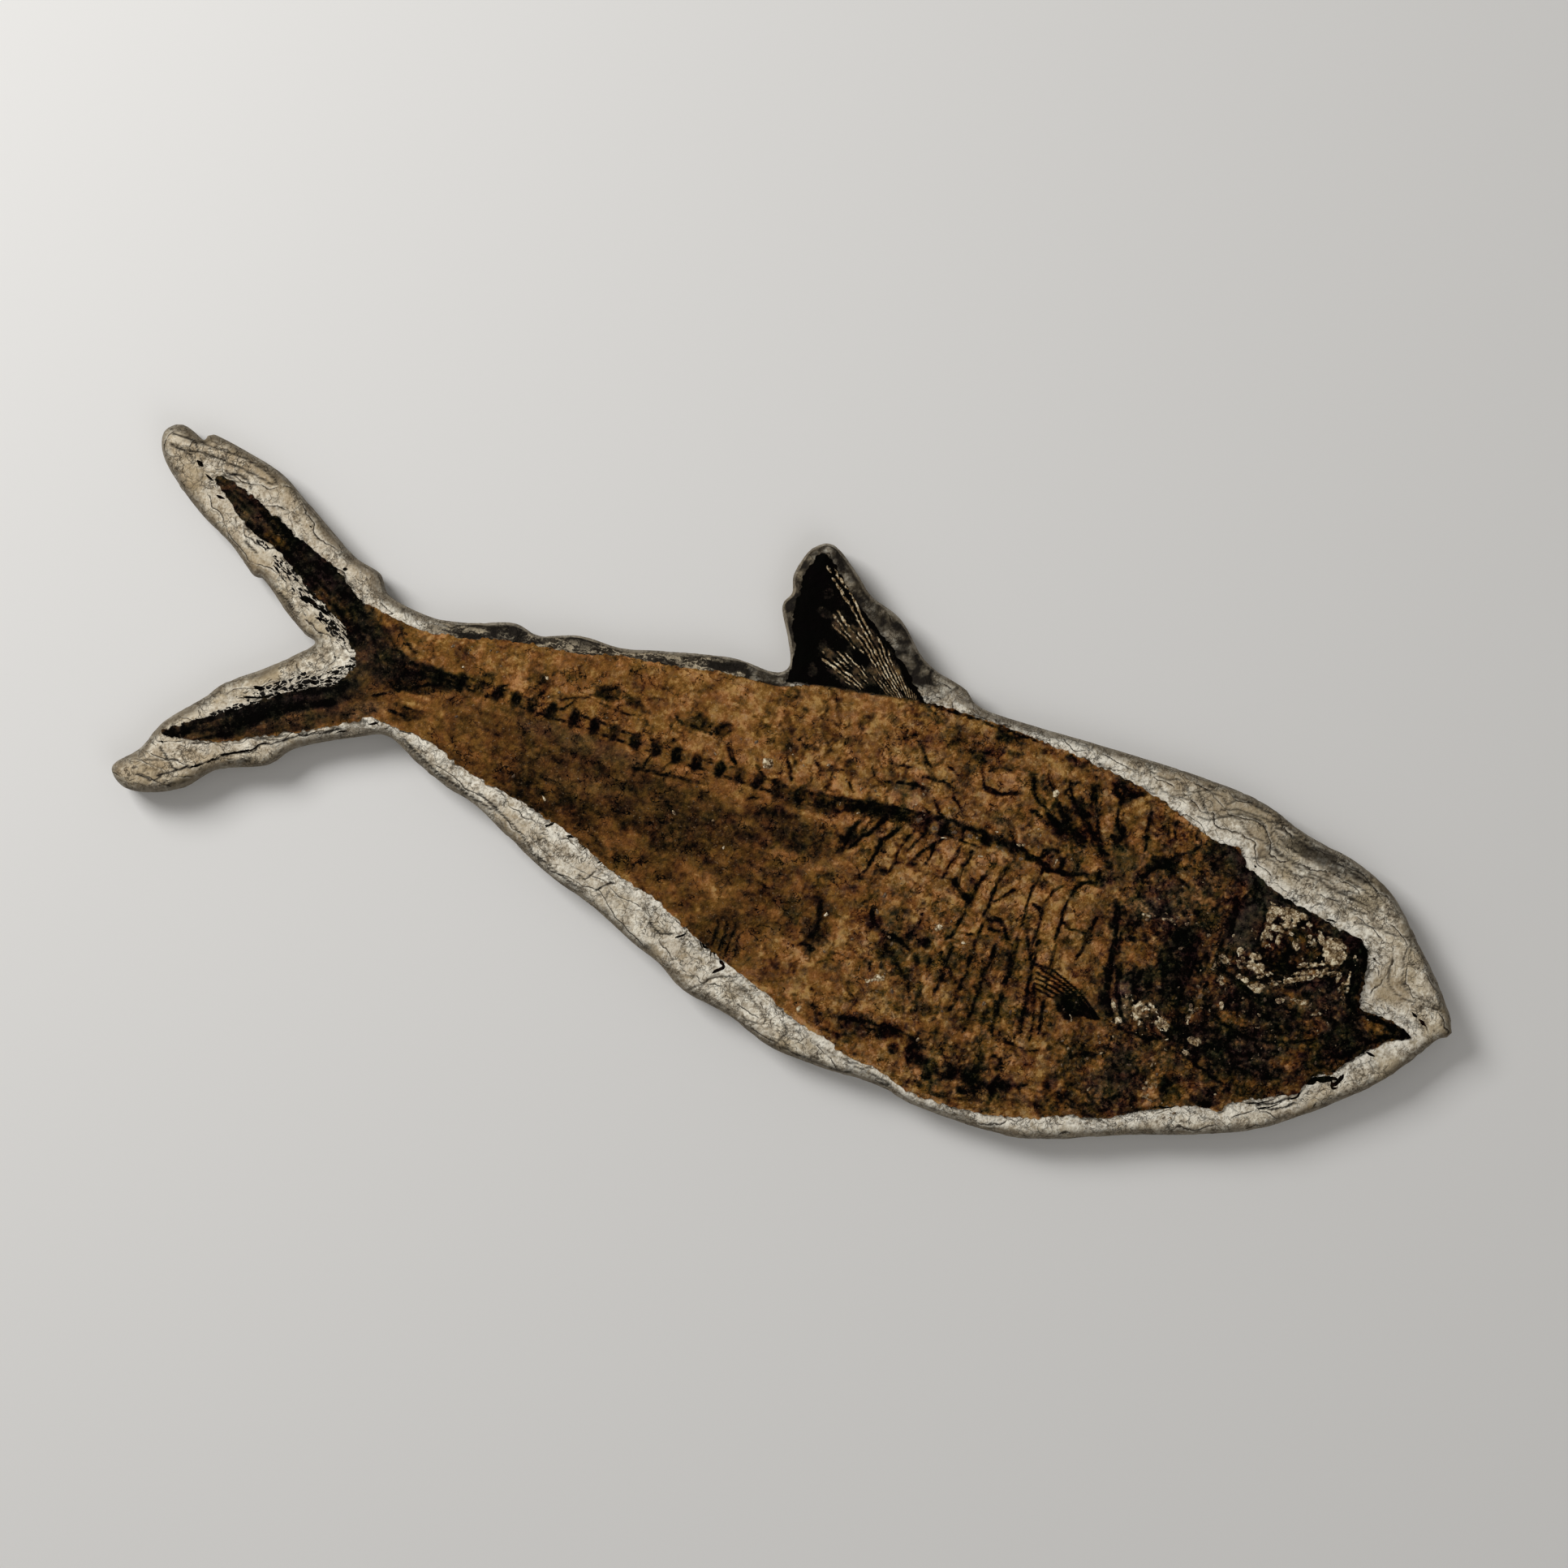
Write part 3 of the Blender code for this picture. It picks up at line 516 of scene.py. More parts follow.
# stone left dark: a streaked strip along the back and the fin's surround, both in part painted shade,
# a smudge above the snout and a faint shade on the nape
back_run, back_across = x * 0.98 + y * 0.18, y * 0.98 - x * 0.18
smudge = np.hypot((x - 165) / 16, (y - 35.6 + 0.12 * (x - 165)) / 3.3) + 0.3 * cloud(x / 3, y, 2, 55)
dark_strips_and_shade = np.maximum.reduce([
    fade(x, -128, -112) * fade(x, -6, -14) * fade(y, 8, 14),
    fade(x, -26, -20) * fade(x, -8, -14) * fade(y, 38, 44),
    0.95 * fade(x, -24, -16) * fade(x, 46, 26) * fade(y, 40, 48),
    0.93 * fade(smudge, 1.3, 0.6),
    0.2 * fade(x, 95, 125) * fade(from_fish, 3, 10) * fade(y, 20, 34)])
streaks = np.where(x < -24, cloud(back_run / 8, back_across, 1.3, 44, 3), cloud(x, y, 2.8, 52, 3))
dark_strips_and_shade = np.minimum(dark_strips_and_shade, 0.99) * (1 - 0.3 * fade(streaks, 0.16, 0.45) * fade(x, -26, -20))
inked = fade(dark_strips_and_shade, 0.5, 0.8) * fade(streaks, 0.08 - 0.13 * fade(x, -26, -20), -0.25) * fade(x, 60, 50)
all_marks_and_shadow_lines[on_top] = np.maximum(marks_and_shadow_lines, inked)
# painted shade: the top darkened over its last few millimetres to the rim, and the whole side wall, joined
# with the dark strips
rim_shade_and_dark_strips = np.full(len(spots), 0.62)
rim_shade_and_dark_strips[on_top] = np.maximum(0.62 * fade(from_rim, 2.4, 0.2), dark_strips_and_shade)
chips, bed_levels, clean, streaked = np.zeros((4, len(spots)))
streaked[on_top] = dark_strips_and_shade * fade(x, -20, -26) * fade(from_fish, 5.5, 1.0)
clean[on_top] = fade(from_fish + 1.6 * cloud(x, y, 4, 54), 6.5, 1.5) * (1 - fade(dark_strips_and_shade, 0.1, 0.5))
clean[on_top] *= 1 - 0.6 * fade(x, -125, -145)
clean[on_top] = np.maximum(clean[on_top], 0.45 * fade(y, -22, -28) * fade(x, 30, 0) * fade(x, -125, -105))
bed_levels[on_top] = beds
for start_width, end_width, path in CHIPPED:
    chips[on_top] = np.maximum(chips[on_top], fade(gap_to(x, y, path, start_width, end_width), 1.2, 0.3))
for name, values in (("chips", chips), ("streaked", streaked), ("clean", clean), ("beds", bed_levels),
                     ("marks_and_shadow_lines", all_marks_and_shadow_lines), ("stain", stain), ("rim", rim_shade_and_dark_strips)):
    paint(stone_mesh, name, values)
stone_mesh.shade_smooth()
stone_mesh.set_sharp_from_angle(angle=math.radians(50))
limestone_plate = bpy.data.objects.new("limestone_plate", stone_mesh)
scene.collection.objects.link(limestone_plate)


def add(tree, kind, **inputs):
    """A shader node with its sockets set or linked, by name with _ for spaces or by number as n0."""
    made = tree.nodes.new("ShaderNode" + kind)
    for name, value in inputs.items():
        numbered = name[0] == "n" and name[1:].isdigit()
        socket = made.inputs[int(name[1:]) if numbered else name.replace("_", " ")]
        if isinstance(value, bpy.types.NodeSocket):
            tree.links.new(value, socket)
        else:
            socket.default_value = value
    return made


def mask(tree, name):
    """A painted value of the mesh."""
    made = tree.nodes.new("ShaderNodeAttribute")
    made.attribute_name = name
    return made.outputs["Fac"]


def colour_mix(tree, share, first, second, kind="MIX"):
    made = tree.nodes.new("ShaderNodeMix")
    made.data_type = "RGBA"
    made.blend_type = kind
    for socket, value in ((made.inputs[0], share), (made.inputs[6], first), (made.inputs[7], second)):
        if isinstance(value, bpy.types.NodeSocket):
            tree.links.new(value, socket)
        else:
            socket.default_value = value
    return made.outputs[2]


def sums(tree, operation, first, second, clamp=False):
    made = add(tree, "Math", n0=first, n1=second)
    made.operation = operation
    made.use_clamp = clamp
    return made.outputs[0]


def times(tree, first, second, clamp=False):
    return sums(tree, "MULTIPLY", first, second, clamp)


def plus(tree, first, second, clamp=False):
    return sums(tree, "ADD", first, second, clamp)


def minus(tree, first, second):
    return sums(tree, "SUBTRACT", first, second)


def ramp(tree, value, *stops):
    """Colours by place along a value from 0 to 1."""
    made = add(tree, "ValToRGB", Fac=value)
    stretch = made.color_ramp.elements
    for place, colour in stops[2:]:
        stretch.new(place)
    for element, (place, colour) in zip(stretch, sorted(stops)):
        element.position = place
        element.color = (*colour, 1)
    return made.outputs["Color"]


def rising(tree, value, none, full, most=1.0):
    """A ramp from 0 at one value to most at another, on whichever side that lies."""
    return ramp(tree, value, (none, (0, 0, 0)), (full, (most, most, most)))


def noise(tree, place, scale, detail, roughness=0.5):
    return add(tree, "TexNoise", Vector=place, Scale=scale, Detail=detail, Roughness=roughness).outputs["Fac"]


def wavering(tree, place, scale, detail, reach, pushed=None):
    """A place pushed about by noise, so that the cells drawn on it get wavy edges."""
    waver = add(tree, "TexNoise", Vector=place, Scale=scale, Detail=detail).outputs["Color"]
    bent = add(tree, "VectorMath", n0=waver, n1=(reach, reach, reach), n2=place if pushed is None else pushed)
    bent.operation = "MULTIPLY_ADD"
    return bent.outputs[0]


def stretched(tree, place, turn, run):
    """A place turned and drawn out, so that a pattern on it runs in streaks."""
    made = add(tree, "Mapping", Vector=place, Rotation=(0.0, 0.0, turn), Scale=(run, 1.0, 1.0))
    made.vector_type = "TEXTURE"
    return made.outputs[0]


def cell_edges(tree, place, scale):
    """How far each place lies from the edges between scattered cells."""
    made = add(tree, "TexVoronoi", Vector=place, Scale=scale)
    made.feature = "DISTANCE_TO_EDGE"
    return made.outputs["Distance"]


def dress(tree, shader, base, strength, reach, height):
    """Gives a material its colour and its bumps."""
    tree.links.new(base, shader.inputs["Base Color"])
    bump = add(tree, "Bump", Strength=strength, Distance=reach, Height=height)
    tree.links.new(bump.outputs["Normal"], shader.inputs["Normal"])


# Fine mineral grain, shared by the stone and the fossil: a tone round 0.5 and a height for bumps
grain_group = bpy.data.node_groups.new("mineral_grain", "ShaderNodeTree")
grain_group.interface.new_socket("Grain Size", in_out="INPUT", socket_type="NodeSocketFloat")
grain_group.interface.new_socket("Tone", in_out="OUTPUT", socket_type="NodeSocketFloat")
grain_group.interface.new_socket("Height", in_out="OUTPUT", socket_type="NodeSocketFloat")
group_in = grain_group.nodes.new("NodeGroupInput")
group_out = grain_group.nodes.new("NodeGroupOutput")
coordinates = add(grain_group, "TexCoord").outputs["Object"]
fine_scale = sums(grain_group, "DIVIDE", 1.0, group_in.outputs["Grain Size"])
coarse_scale = times(grain_group, fine_scale, 0.22)
fine = noise(grain_group, coordinates, fine_scale, 3.0, 0.6)
coarse = noise(grain_group, coordinates, coarse_scale, 4.0, 0.62)
both = plus(grain_group, times(grain_group, fine, 0.45), times(grain_group, coarse, 0.55))
grain_group.links.new(both, group_out.inputs["Tone"])
grain_group.links.new(fine, group_out.inputs["Height"])


def grain_of(tree, size):
    made = tree.nodes.new("ShaderNodeGroup")
    made.node_tree = grain_group
    made.inputs["Grain Size"].default_value = size
    return made.outputs["Tone"], made.outputs["Height"]


def bare_material(name, roughness, gloss):
    made = bpy.data.materials.new(name)
    made.use_nodes = True
    shader = made.node_tree.nodes["Principled BSDF"]
    shader.inputs["Roughness"].default_value = roughness
    shader.inputs["Specular IOR Level"].default_value = gloss
    return made, made.node_tree, shader


limestone, tree, shader = bare_material("limestone", 0.85, 0.15)
tone, bumps = grain_of(tree, 0.0009)
base = ramp(tree, tone, (0.35, (0.15, 0.115, 0.075)), (0.59, (0.97, 0.90, 0.74)), (0.43, (0.43, 0.36, 0.26)),
            (0.51, (0.66, 0.575, 0.435)))
place = add(tree, "TexCoord").outputs["Object"]
honey = rising(tree, noise(tree, place, 95.0, 3.0), 0.50, 0.64, 0.7)
base = colour_mix(tree, honey, base, (0.50, 0.40, 0.25, 1))
base = colour_mix(tree, times(tree, mask(tree, "stain"), 0.75), base, (0.39, 0.285, 0.16, 1))
# scraped clean beside the fish
scraped = ramp(tree, tone, (0.42, (0.1, 0.1, 0.1)), (0.52, (0.65, 0.65, 0.65)))
base = colour_mix(tree, times(tree, mask(tree, "clean"), scraped), base, (0.98, 0.93, 0.81, 1))
# flakes with thin dark edges
bent = wavering(tree, place, 380.0, 3.0, 0.004)
flakes = cell_edges(tree, bent, 300.0)
flake_places = noise(tree, place, 150.0, 2.0)
flake_edges = times(tree, rising(tree, flakes, 0.05, 0.012), rising(tree, flake_places, 0.47, 0.58))
base = colour_mix(tree, times(tree, flake_edges, 0.35), base, (0.07, 0.052, 0.034, 1))
# the side wall: thin brown and grey beds, one over the other
WALL_TOP = 11.2
where = add(tree, "SeparateXYZ", Vector=place)
height_of = where.outputs["Z"]
squashed = add(tree, "Mapping", Vector=place, Scale=(0.46, 1.3, 14.6)).outputs[0]
lamina = plus(tree, times(tree, height_of, 420.0), times(tree, noise(tree, squashed, 300.0, 2.0), 2.5))
striped = ramp(tree, sums(tree, "PINGPONG", lamina, 1.0),
               (0.2, (0.29, 0.225, 0.145)), (0.7, (0.52, 0.45, 0.35)))
wall = sums(tree, "LESS_THAN", height_of, WALL_TOP * MM)
# the beds' broken edges: a thin dark line of painted shadow with a painted highlight beside it, and hair-thin
# curls
wiggle = noise(tree, place, 260.0, 4.0, 0.62)
level = plus(tree, mask(tree, "beds"), times(tree, minus(tree, wiggle, 0.5), 0.42))
share = sums(tree, "FRACT", level, 0.0)
gaps = noise(tree, place, 120.0, 2.0)
drawn = times(tree, rising(tree, gaps, 0.46, 0.54), minus(tree, 1.0, wall))
bed_edge_shadows = times(tree, rising(tree, share, 0.92, 0.965), drawn)
bed_edge_highlights = times(tree, rising(tree, share, 0.16, 0.0), drawn)
base = colour_mix(tree, times(tree, bed_edge_highlights, 0.45), base, (0.97, 0.91, 0.77, 1))
curls = []
for scale, width in ((150.0, 0.0045), (310.0, 0.0065)):
    curl = add(tree, "TexNoise", Vector=place, Scale=scale, Detail=3.0, Distortion=0.7).outputs["Fac"]
    curl = sums(tree, "ABSOLUTE", minus(tree, curl, 0.5), 0.0)
    curls.append(rising(tree, curl, 2.6 * width, width))
curls = times(tree, sums(tree, "MAXIMUM", *curls), rising(tree, gaps, 0.52, 0.46))
# the painted shadow lines of the beds' edges, together with the curls
lines = sums(tree, "MAXIMUM", times(tree, bed_edge_shadows, 0.92), times(tree, curls, 0.75))
base = colour_mix(tree, lines, base, (0.035, 0.025, 0.016, 1))
base = colour_mix(tree, times(tree, wall, 0.55), base, striped)
# painted shade at the rim and on the side wall, and the dark strips, mixed to near black with lighter crumbs
dark_gaps = noise(tree, place, 430.0, 4.0, 0.65)
shaded_and_dark = times(tree, mask(tree, "rim"), ramp(tree, dark_gaps, (0.44, (1, 1, 1)), (0.62, (0.9, 0.9, 0.9))))
base = colour_mix(tree, shaded_and_dark, base, (0.022, 0.016, 0.009, 1))
# pale streaks along the dark strip of the back
streaks = noise(tree, stretched(tree, bent, 0.18, 7.0), 1000.0, 3.0, 0.6)
streaks = times(tree, mask(tree, "streaked"), rising(tree, streaks, 0.50, 0.56))
base = colour_mix(tree, streaks, base, (0.46, 0.38, 0.26, 1))
# black chips with white stone between them, longer along the tail's rays than across
mirrored = add(tree, "CombineXYZ", X=where.outputs["X"], Y=sums(tree, "ABSOLUTE", where.outputs["Y"], 0.0))
slanted = stretched(tree, wavering(tree, place, 700.0, 2.0, 0.0012, mirrored.outputs[0]), -0.49, 2.0)
chip = add(tree, "TexVoronoi", Vector=slanted, Scale=880.0)
chip_chance = add(tree, "SeparateColor", Color=chip.outputs["Color"]).outputs[0]
chip_edge = cell_edges(tree, slanted, 880.0)
chip_here = sums(tree, "LESS_THAN", chip_chance, times(tree, mask(tree, "chips"), 0.66))
chip_here = times(tree, chip_here, rising(tree, chip_edge, 0.05, 0.09))
base = colour_mix(tree, times(tree, mask(tree, "chips"), 0.25), base, (0.93, 0.87, 0.74, 1))
base = colour_mix(tree, chip_here, base, (0.006, 0.005, 0.004, 1))
# the dark marks, with painted shadow lines at the beds' steps among them
base = colour_mix(tree, mask(tree, "marks_and_shadow_lines"), base, (0.012, 0.009, 0.006, 1))
bumpy = minus(tree, bumps, times(tree, sums(tree, "MAXIMUM", flake_edges, lines), 0.6))
dress(tree, shader, base, 0.9, 0.0006, bumpy)
stone_mesh.materials.append(limestone)
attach(limestone_plate, "root")
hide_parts("limestone_matrix")

# The fish's film: the flattened body, its skin and flesh turned to a brown crust, thin at its
# edge and domed where the body was thickest. It is laid down in five sheets that lap over each
# other: body, head, two tail lobes and dorsal fin, all coloured by the same marks.
# Soft areas of colour: place, half length, half width, tilt, darkness and greyness from 0 to 1
WASHES = (
    (-135, 0, 13, 11, 0, 0.76, 0.3), (-133, 10.5, 9, 2.2, 8, 0.45, 0), (-134, -12, 8, 4, 15, 0.55, 0.1),
    (-118, 7, 14, 4, 5, 0.34, 0), (-118, -12.5, 12, 4.5, -4, 0.34, 0), (-117, -13.5, 4, 1.6, 0, 0.62, 0),
    (-107, -6, 10, 3, -5, 0.42, 0), (-100, -12, 14, 6, -10, 0.4, 0), (-97, -18, 8, 4, -15, 0.36, 0),
    (-128, -3, 10, 4.5, -10, 0.78, 0.3), (-116, -0.8, 13, 2.8, 2, 0.78, 0.1),
    (-120, -6, 9, 1.8, 20, 0.72, 0), (-50, -15, 48, 11, -8, 0.58, 0.05), (-72, -24.5, 20, 3.8, -9, 0.7, 0),
    (-45, -24, 20, 4, -5, 0.62, 0), (-88, -11, 5, 9, 25, 0.52, 0), (-65, -5, 22, 3, 0, 0.5, 0.2),
    (-62, -17, 12, 3, 0, 0.44, 0.1), (-33, -13, 9, 4, 15, 0.46, 0), (-98, -22, 10, 2.2, -15, 0.46, 0),
    (-77, -27, 12, 2.2, -12, 0.62, 0), (-55, -33, 12, 3, -22, 0.5, 0), (-30, -38.5, 16, 4, -22, 0.5, 0),
    (-8, -48, 10, 4, -24, 0.5, 0), (-42, -29, 12, 3.5, -15, 0.4, 0), (-20, -18, 20, 10, -5, 0.6, 0.05),
    (5, -10, 16, 5.5, -6, 0.64, 0.05), (-5, -25, 18, 8, -10, 0.53, 0), (-22, -38, 16, 5, -20, 0.43, 0),
    (2, -42, 10, 9, -10, 0.5, 0), (-2, -48, 6, 5, -20, 0.62, 0), (12, -30, 14, 10, 0, 0.46, 0),
    (10, -49, 12, 5, -25, 0.38, 0), (8, -31, 6, 3, 0, 0.6, 0), (22, -32, 4, 10, 5, 0.6, 0),
    (32, -20, 14, 9, 0, 0.38, 0), (35, -47, 16, 8, 0, 0.33, 0), (48, -34, 9, 6, -35, 0.62, 0),
    (62, -33, 6, 6, 0, 0.58, 0), (45, -27, 7, 4, 0, 0.42, 0.1), (60, -50, 16, 6, 0, 0.36, 0),
    (78, -35, 12, 16, 0, 0.45, 0), (96, -38, 8, 9, 0, 0.46, 0), (100, -55, 14, 6, 0, 0.4, 0),
    (80, -55, 7, 5, 0, 0.5, 0), (52, -60, 17, 5, 2, 0.56, 0), (80, -64, 20, 6, 0, 0.58, 0.1),
    (52, -59, 7, 1.8, 3, 0.84, 0), (45, -58.3, 8, 1, 3, 0.82, 0), (63, -62.8, 2.6, 2.8, 0, 1, 0.1),
    (68, -68, 1.8, 1.3, 0, 0.85, 0), (77, -64.5, 3, 2.2, 0, 0.96, 0.1), (83.5, -65, 1.9, 2.6, 0, 0.95, 0.1),
    (91, -63.5, 3, 2.8, 0, 0.93, 0), (98, -61.5, 2, 1.6, 0, 0.8, 0), (108, -59.5, 2.6, 1.8, 0, 0.8, 0),
    (57, -62.5, 1.6, 1.6, 0, 0.85, 0), (70, -63.5, 1.4, 2.2, 0, 0.84, 0), (66, -71, 5, 1, 0, 0.7, 0),
    (76, -71.5, 5, 1, 0, 0.72, 0), (87, -71, 5, 1.1, 0, 0.6, 0), (30, -60.5, 5, 1.8, -15, 0.5, 0),
    (36, -64, 8, 1.4, -8, 0.58, 0), (104, -32.5, 5, 2.6, -28, 0.92, 0.1), (98, -27.5, 6, 1.4, -25, 0.36, 0),
    (-62, 12, 4.5, 2.4, 30, 0.62, 0), (-52.5, 11.5, 5, 1.5, -10, 0.6, 0), (-82, 8, 2, 3.5, 0, 0.52, 0),
    (-97, 5, 4, 2, 0, 0.42, 0), (-33, 12.5, 4, 2.6, 20, 0.66, 0), (-25, 12.5, 3, 2.2, 20, 0.72, 0),
    (-55, 19, 3.5, 4, 0, 0.42, 0), (-12, 24, 3, 4, 0, 0.42, 0), (-5, 22, 10, 6, 0, 0.3, 0),
    (28, 29, 8, 3, -10, 0.38, 0), (50, 33, 12, 6, 0, 0.38, 0), (58, 39.5, 5, 1.8, 0, 0.62, 0),
    (65, 31, 5, 2.5, 0, 0.45, 0), (80, 38.5, 5, 1.8, -5, 0.62, 0), (98, 36, 5, 3.5, -10, 0.74, 0),
    (87, 24, 8, 4, -20, 0.66, 0), (84, 18, 7, 3, -10, 0.66, 0), (93, 17, 6, 5, -30, 0.6, 0),
    (101, 21, 3.5, 5, 10, 0.74, 0), (77, 28, 5, 5, 0, 0.42, 0), (88, 31, 3, 3, 0, 0.28, 0),
    (96, 25, 3, 5, 0, 0.26, 0), (104, 15, 5, 6, 0, 0.38, 0.1), (78, 12, 6, 3, 0, 0.36, 0.1),
    (60, 14, 15, 2.5, 0, 0.3, 0.1), (35, 14, 5, 3, 0, 0.42, 0.2), (30, 5.2, 13, 2.6, 9, 0.66, 0),
    (47, 6.6, 9, 2.8, 3, 0.5, 0.1), (25, 4.3, 2.6, 1.5, 0, 0.95, 0), (31, 5.6, 2.6, 1.5, 10, 0.93, 0),
    (36.5, 6.4, 2.2, 1.4, 15, 0.9, 0), (44, 6.6, 0.9, 1.5, 0, 0.85, 0), (49.8, 6.5, 1.2, 1.8, 0, 0.85, 0),
    (55, 7.3, 0.9, 1.4, 0, 0.85, 0), (71, 7.8, 5.5, 1, -3, 0.95, 0), (72.3, 5.7, 1.8, 1.3, 0, 0.82, 0),
    (84.8, 7.1, 3.2, 2.6, 0, 0.78, 0), (91, 7.5, 4, 2.2, 0, 0.6, 0), (99, 7, 1.5, 2.5, 0, 0.8, 0),
    (103, 7, 3, 3.5, 0, 0.6, 0.3), (8, 0.5, 10, 3, 8, 0.6, 0), (22.3, -7, 2.4, 4.5, -20, 0.85, 0),
    (35, -12.2, 2.8, 1.5, 0, 0.85, 0), (38.4, -8.2, 1.6, 1.3, 0, 0.78, 0),
    (44.3, -7.3, 2.4, 1.5, 0, 0.78, 0.1), (57.3, -8.3, 1.5, 1.5, 0, 0.88, 0),
    (61.8, -11.3, 2.2, 1, -30, 0.88, 0.1), (38, -27.5, 3, 3, 0, 0.84, 0.1),
    (54, -28.5, 2.8, 2, 0, 0.82, 0.2), (28, -21.5, 2.4, 1.2, 10, 0.6, 0),
    (47.5, -22.2, 3.2, 0.9, 0, 0.66, 0), (29.5, -16.5, 2, 1, 15, 0.6, 0), (150, -8, 45, 36, 0, 0.81, 0.15),
    (118, 24, 14, 8, -15, 0.44, 0), (123, 27, 7, 3, -20, 0.42, 0), (116.2, 18, 3.4, 2.3, 10, 0.93, 0.1),
    (112, 12.5, 1.8, 4.5, -20, 0.8, 0.1), (125, 14, 6, 1.8, -20, 0.7, 0), (133, 25, 7, 5, -25, 0.76, 0.2),
    (140, 15, 8, 6, 0, 0.58, 0.1), (127, 9, 12, 6, 0, 0.62, 0.25), (119, 4, 8, 3, 0, 0.6, 0.5),
    (135, 4, 6, 8, 0, 0.68, 0.1), (118, -9, 5.5, 9, 12, 0.63, 0), (107.6, -14, 2.6, 9, 12, 0.28, 0),
    (130, -9, 5.5, 12, 0, 1, 0.3), (122, -18, 6, 5, 10, 0.74, 0.3), (129.5, -12.5, 2.4, 6.5, 0, 1, 0.3),
    (118.5, -9.5, 5, 6.5, 8, 0.55, 0), (119.5, -20, 3.5, 3.5, 0, 0.86, 0.4),
    (137.5, -28, 3, 5, 15, 0.97, 0.4), (141.6, 13, 1.2, 5.5, 8, 0.86, 0), (113.5, -24, 3, 8, 15, 0.74, 0.2),
    (118.5, -26, 2.6, 7, 15, 0.52, 0.7), (128, -27, 6, 4.5, -20, 0.55, 0.3),
    (137, -24, 4, 10, 0, 0.84, 0.1), (141, -12, 1.8, 14, 0, 0.5, 0.1), (148, 10, 5.5, 9, -10, 0.72, 0.95),
    (147, 22, 15, 3, -24, 1, 0.8), (166, 17.3, 14, 1.9, -14, 1, 0.6), (184, 10.5, 4.5, 5, -30, 1, 0.6),
    (183.5, 3, 2.4, 7, 5, 0.92, 0.5), (163, 8, 14, 9, -5, 0.84, 0.1), (162, 2, 6, 4, 20, 0.9, 0),
    (166, 9, 4, 2.5, 0, 0.66, 0), (172, -6, 13, 5, 10, 0.76, 0.4), (165, -9, 6, 2.4, 10, 0.58, 0),
    (158, -14, 12, 6, 0, 0.87, 0.35), (177, -15, 3, 2.2, 0, 0.55, 0), (152, -21, 5, 2.5, 0, 0.62, 0),
    (150, -30, 14, 5, -10, 0.92, 0.35), (163, -28, 10, 6, -10, 0.87, 0.4), (171, -28, 4.5, 2.6, 0, 0.6, 0),
    (176, -21, 4, 6, 0, 0.7, 0), (187, -13, 9, 7, -25, 0.86, 0.35), (194, -8, 4.5, 2.2, -5, 0.42, 0),
    (203, -7.5, 4, 1.8, -10, 0.88, 0.1), (145, -39, 7, 3, -25, 0.56, 0), (135, -36, 8, 4, -10, 0.6, 0.1),
    (163, -38, 8, 3, 15, 0.56, 0), (152, -46, 5, 3.5, 15, 0.9, 0.4), (142, -45, 7, 4, 0, 0.64, 0),
    (135, -50, 3, 5, 5, 0.25, 0), (122, -48, 10, 9, -10, 0.7, 0.3), (112, -45, 8, 8, 0, 0.56, 0),
    (118, -60, 9, 3, -15, 0.74, 0.1), (128, -57, 7, 4, -20, 0.74, 0.2), (110, -58, 7, 5, 0, 0.56, 0),
    (104, -64, 8, 4, 0, 0.45, 0), (-152, 13, 17, 8, -32, 0.95, 0.4), (-170, 24, 17, 8, -28, 0.9, 0.15),
    (-188, 31, 15, 8, -24, 0.84, 0.35), (-176, 29.5, 12, 2.2, -24, 0.97, 0.1),
    (-158, 20, 12, 2.4, -33, 0.99, 0.7), (-163, 17.5, 12, 1.8, -30, 0.98, 0.5),
    (-184, 28, 3.2, 3, -28, 0.66, 0.45), (-173, 22.5, 5, 1.8, -20, 0.74, 0),
    (-194.5, 34.3, 2.5, 1.4, -30, 0.68, 0.2), (-146, 8, 7, 3, -40, 0.82, 0.1),
    (-154, 10.5, 5, 1.6, -30, 0.74, 0.1), (-152, -22, 18, 7, 34, 0.94, 0.4),
    (-168, -32.5, 13, 6, 36, 0.93, 0.4), (-181, -42, 10, 5, 36, 0.9, 0.3),
    (-133, -18, 8, 2.4, 28, 0.55, 0.3), (-150.5, -28.2, 17, 3, 29, 0.6, 0.25),
    (-176, -41.6, 6, 1.2, 33, 0.72, 0.3), (-144, -14.5, 10, 2.6, 28, 0.98, 0.6),
    (-173, -36.5, 5, 1, 33, 0.74, 0.3), (-160, -26.5, 14, 1.8, 32, 0.99, 0.7),
)
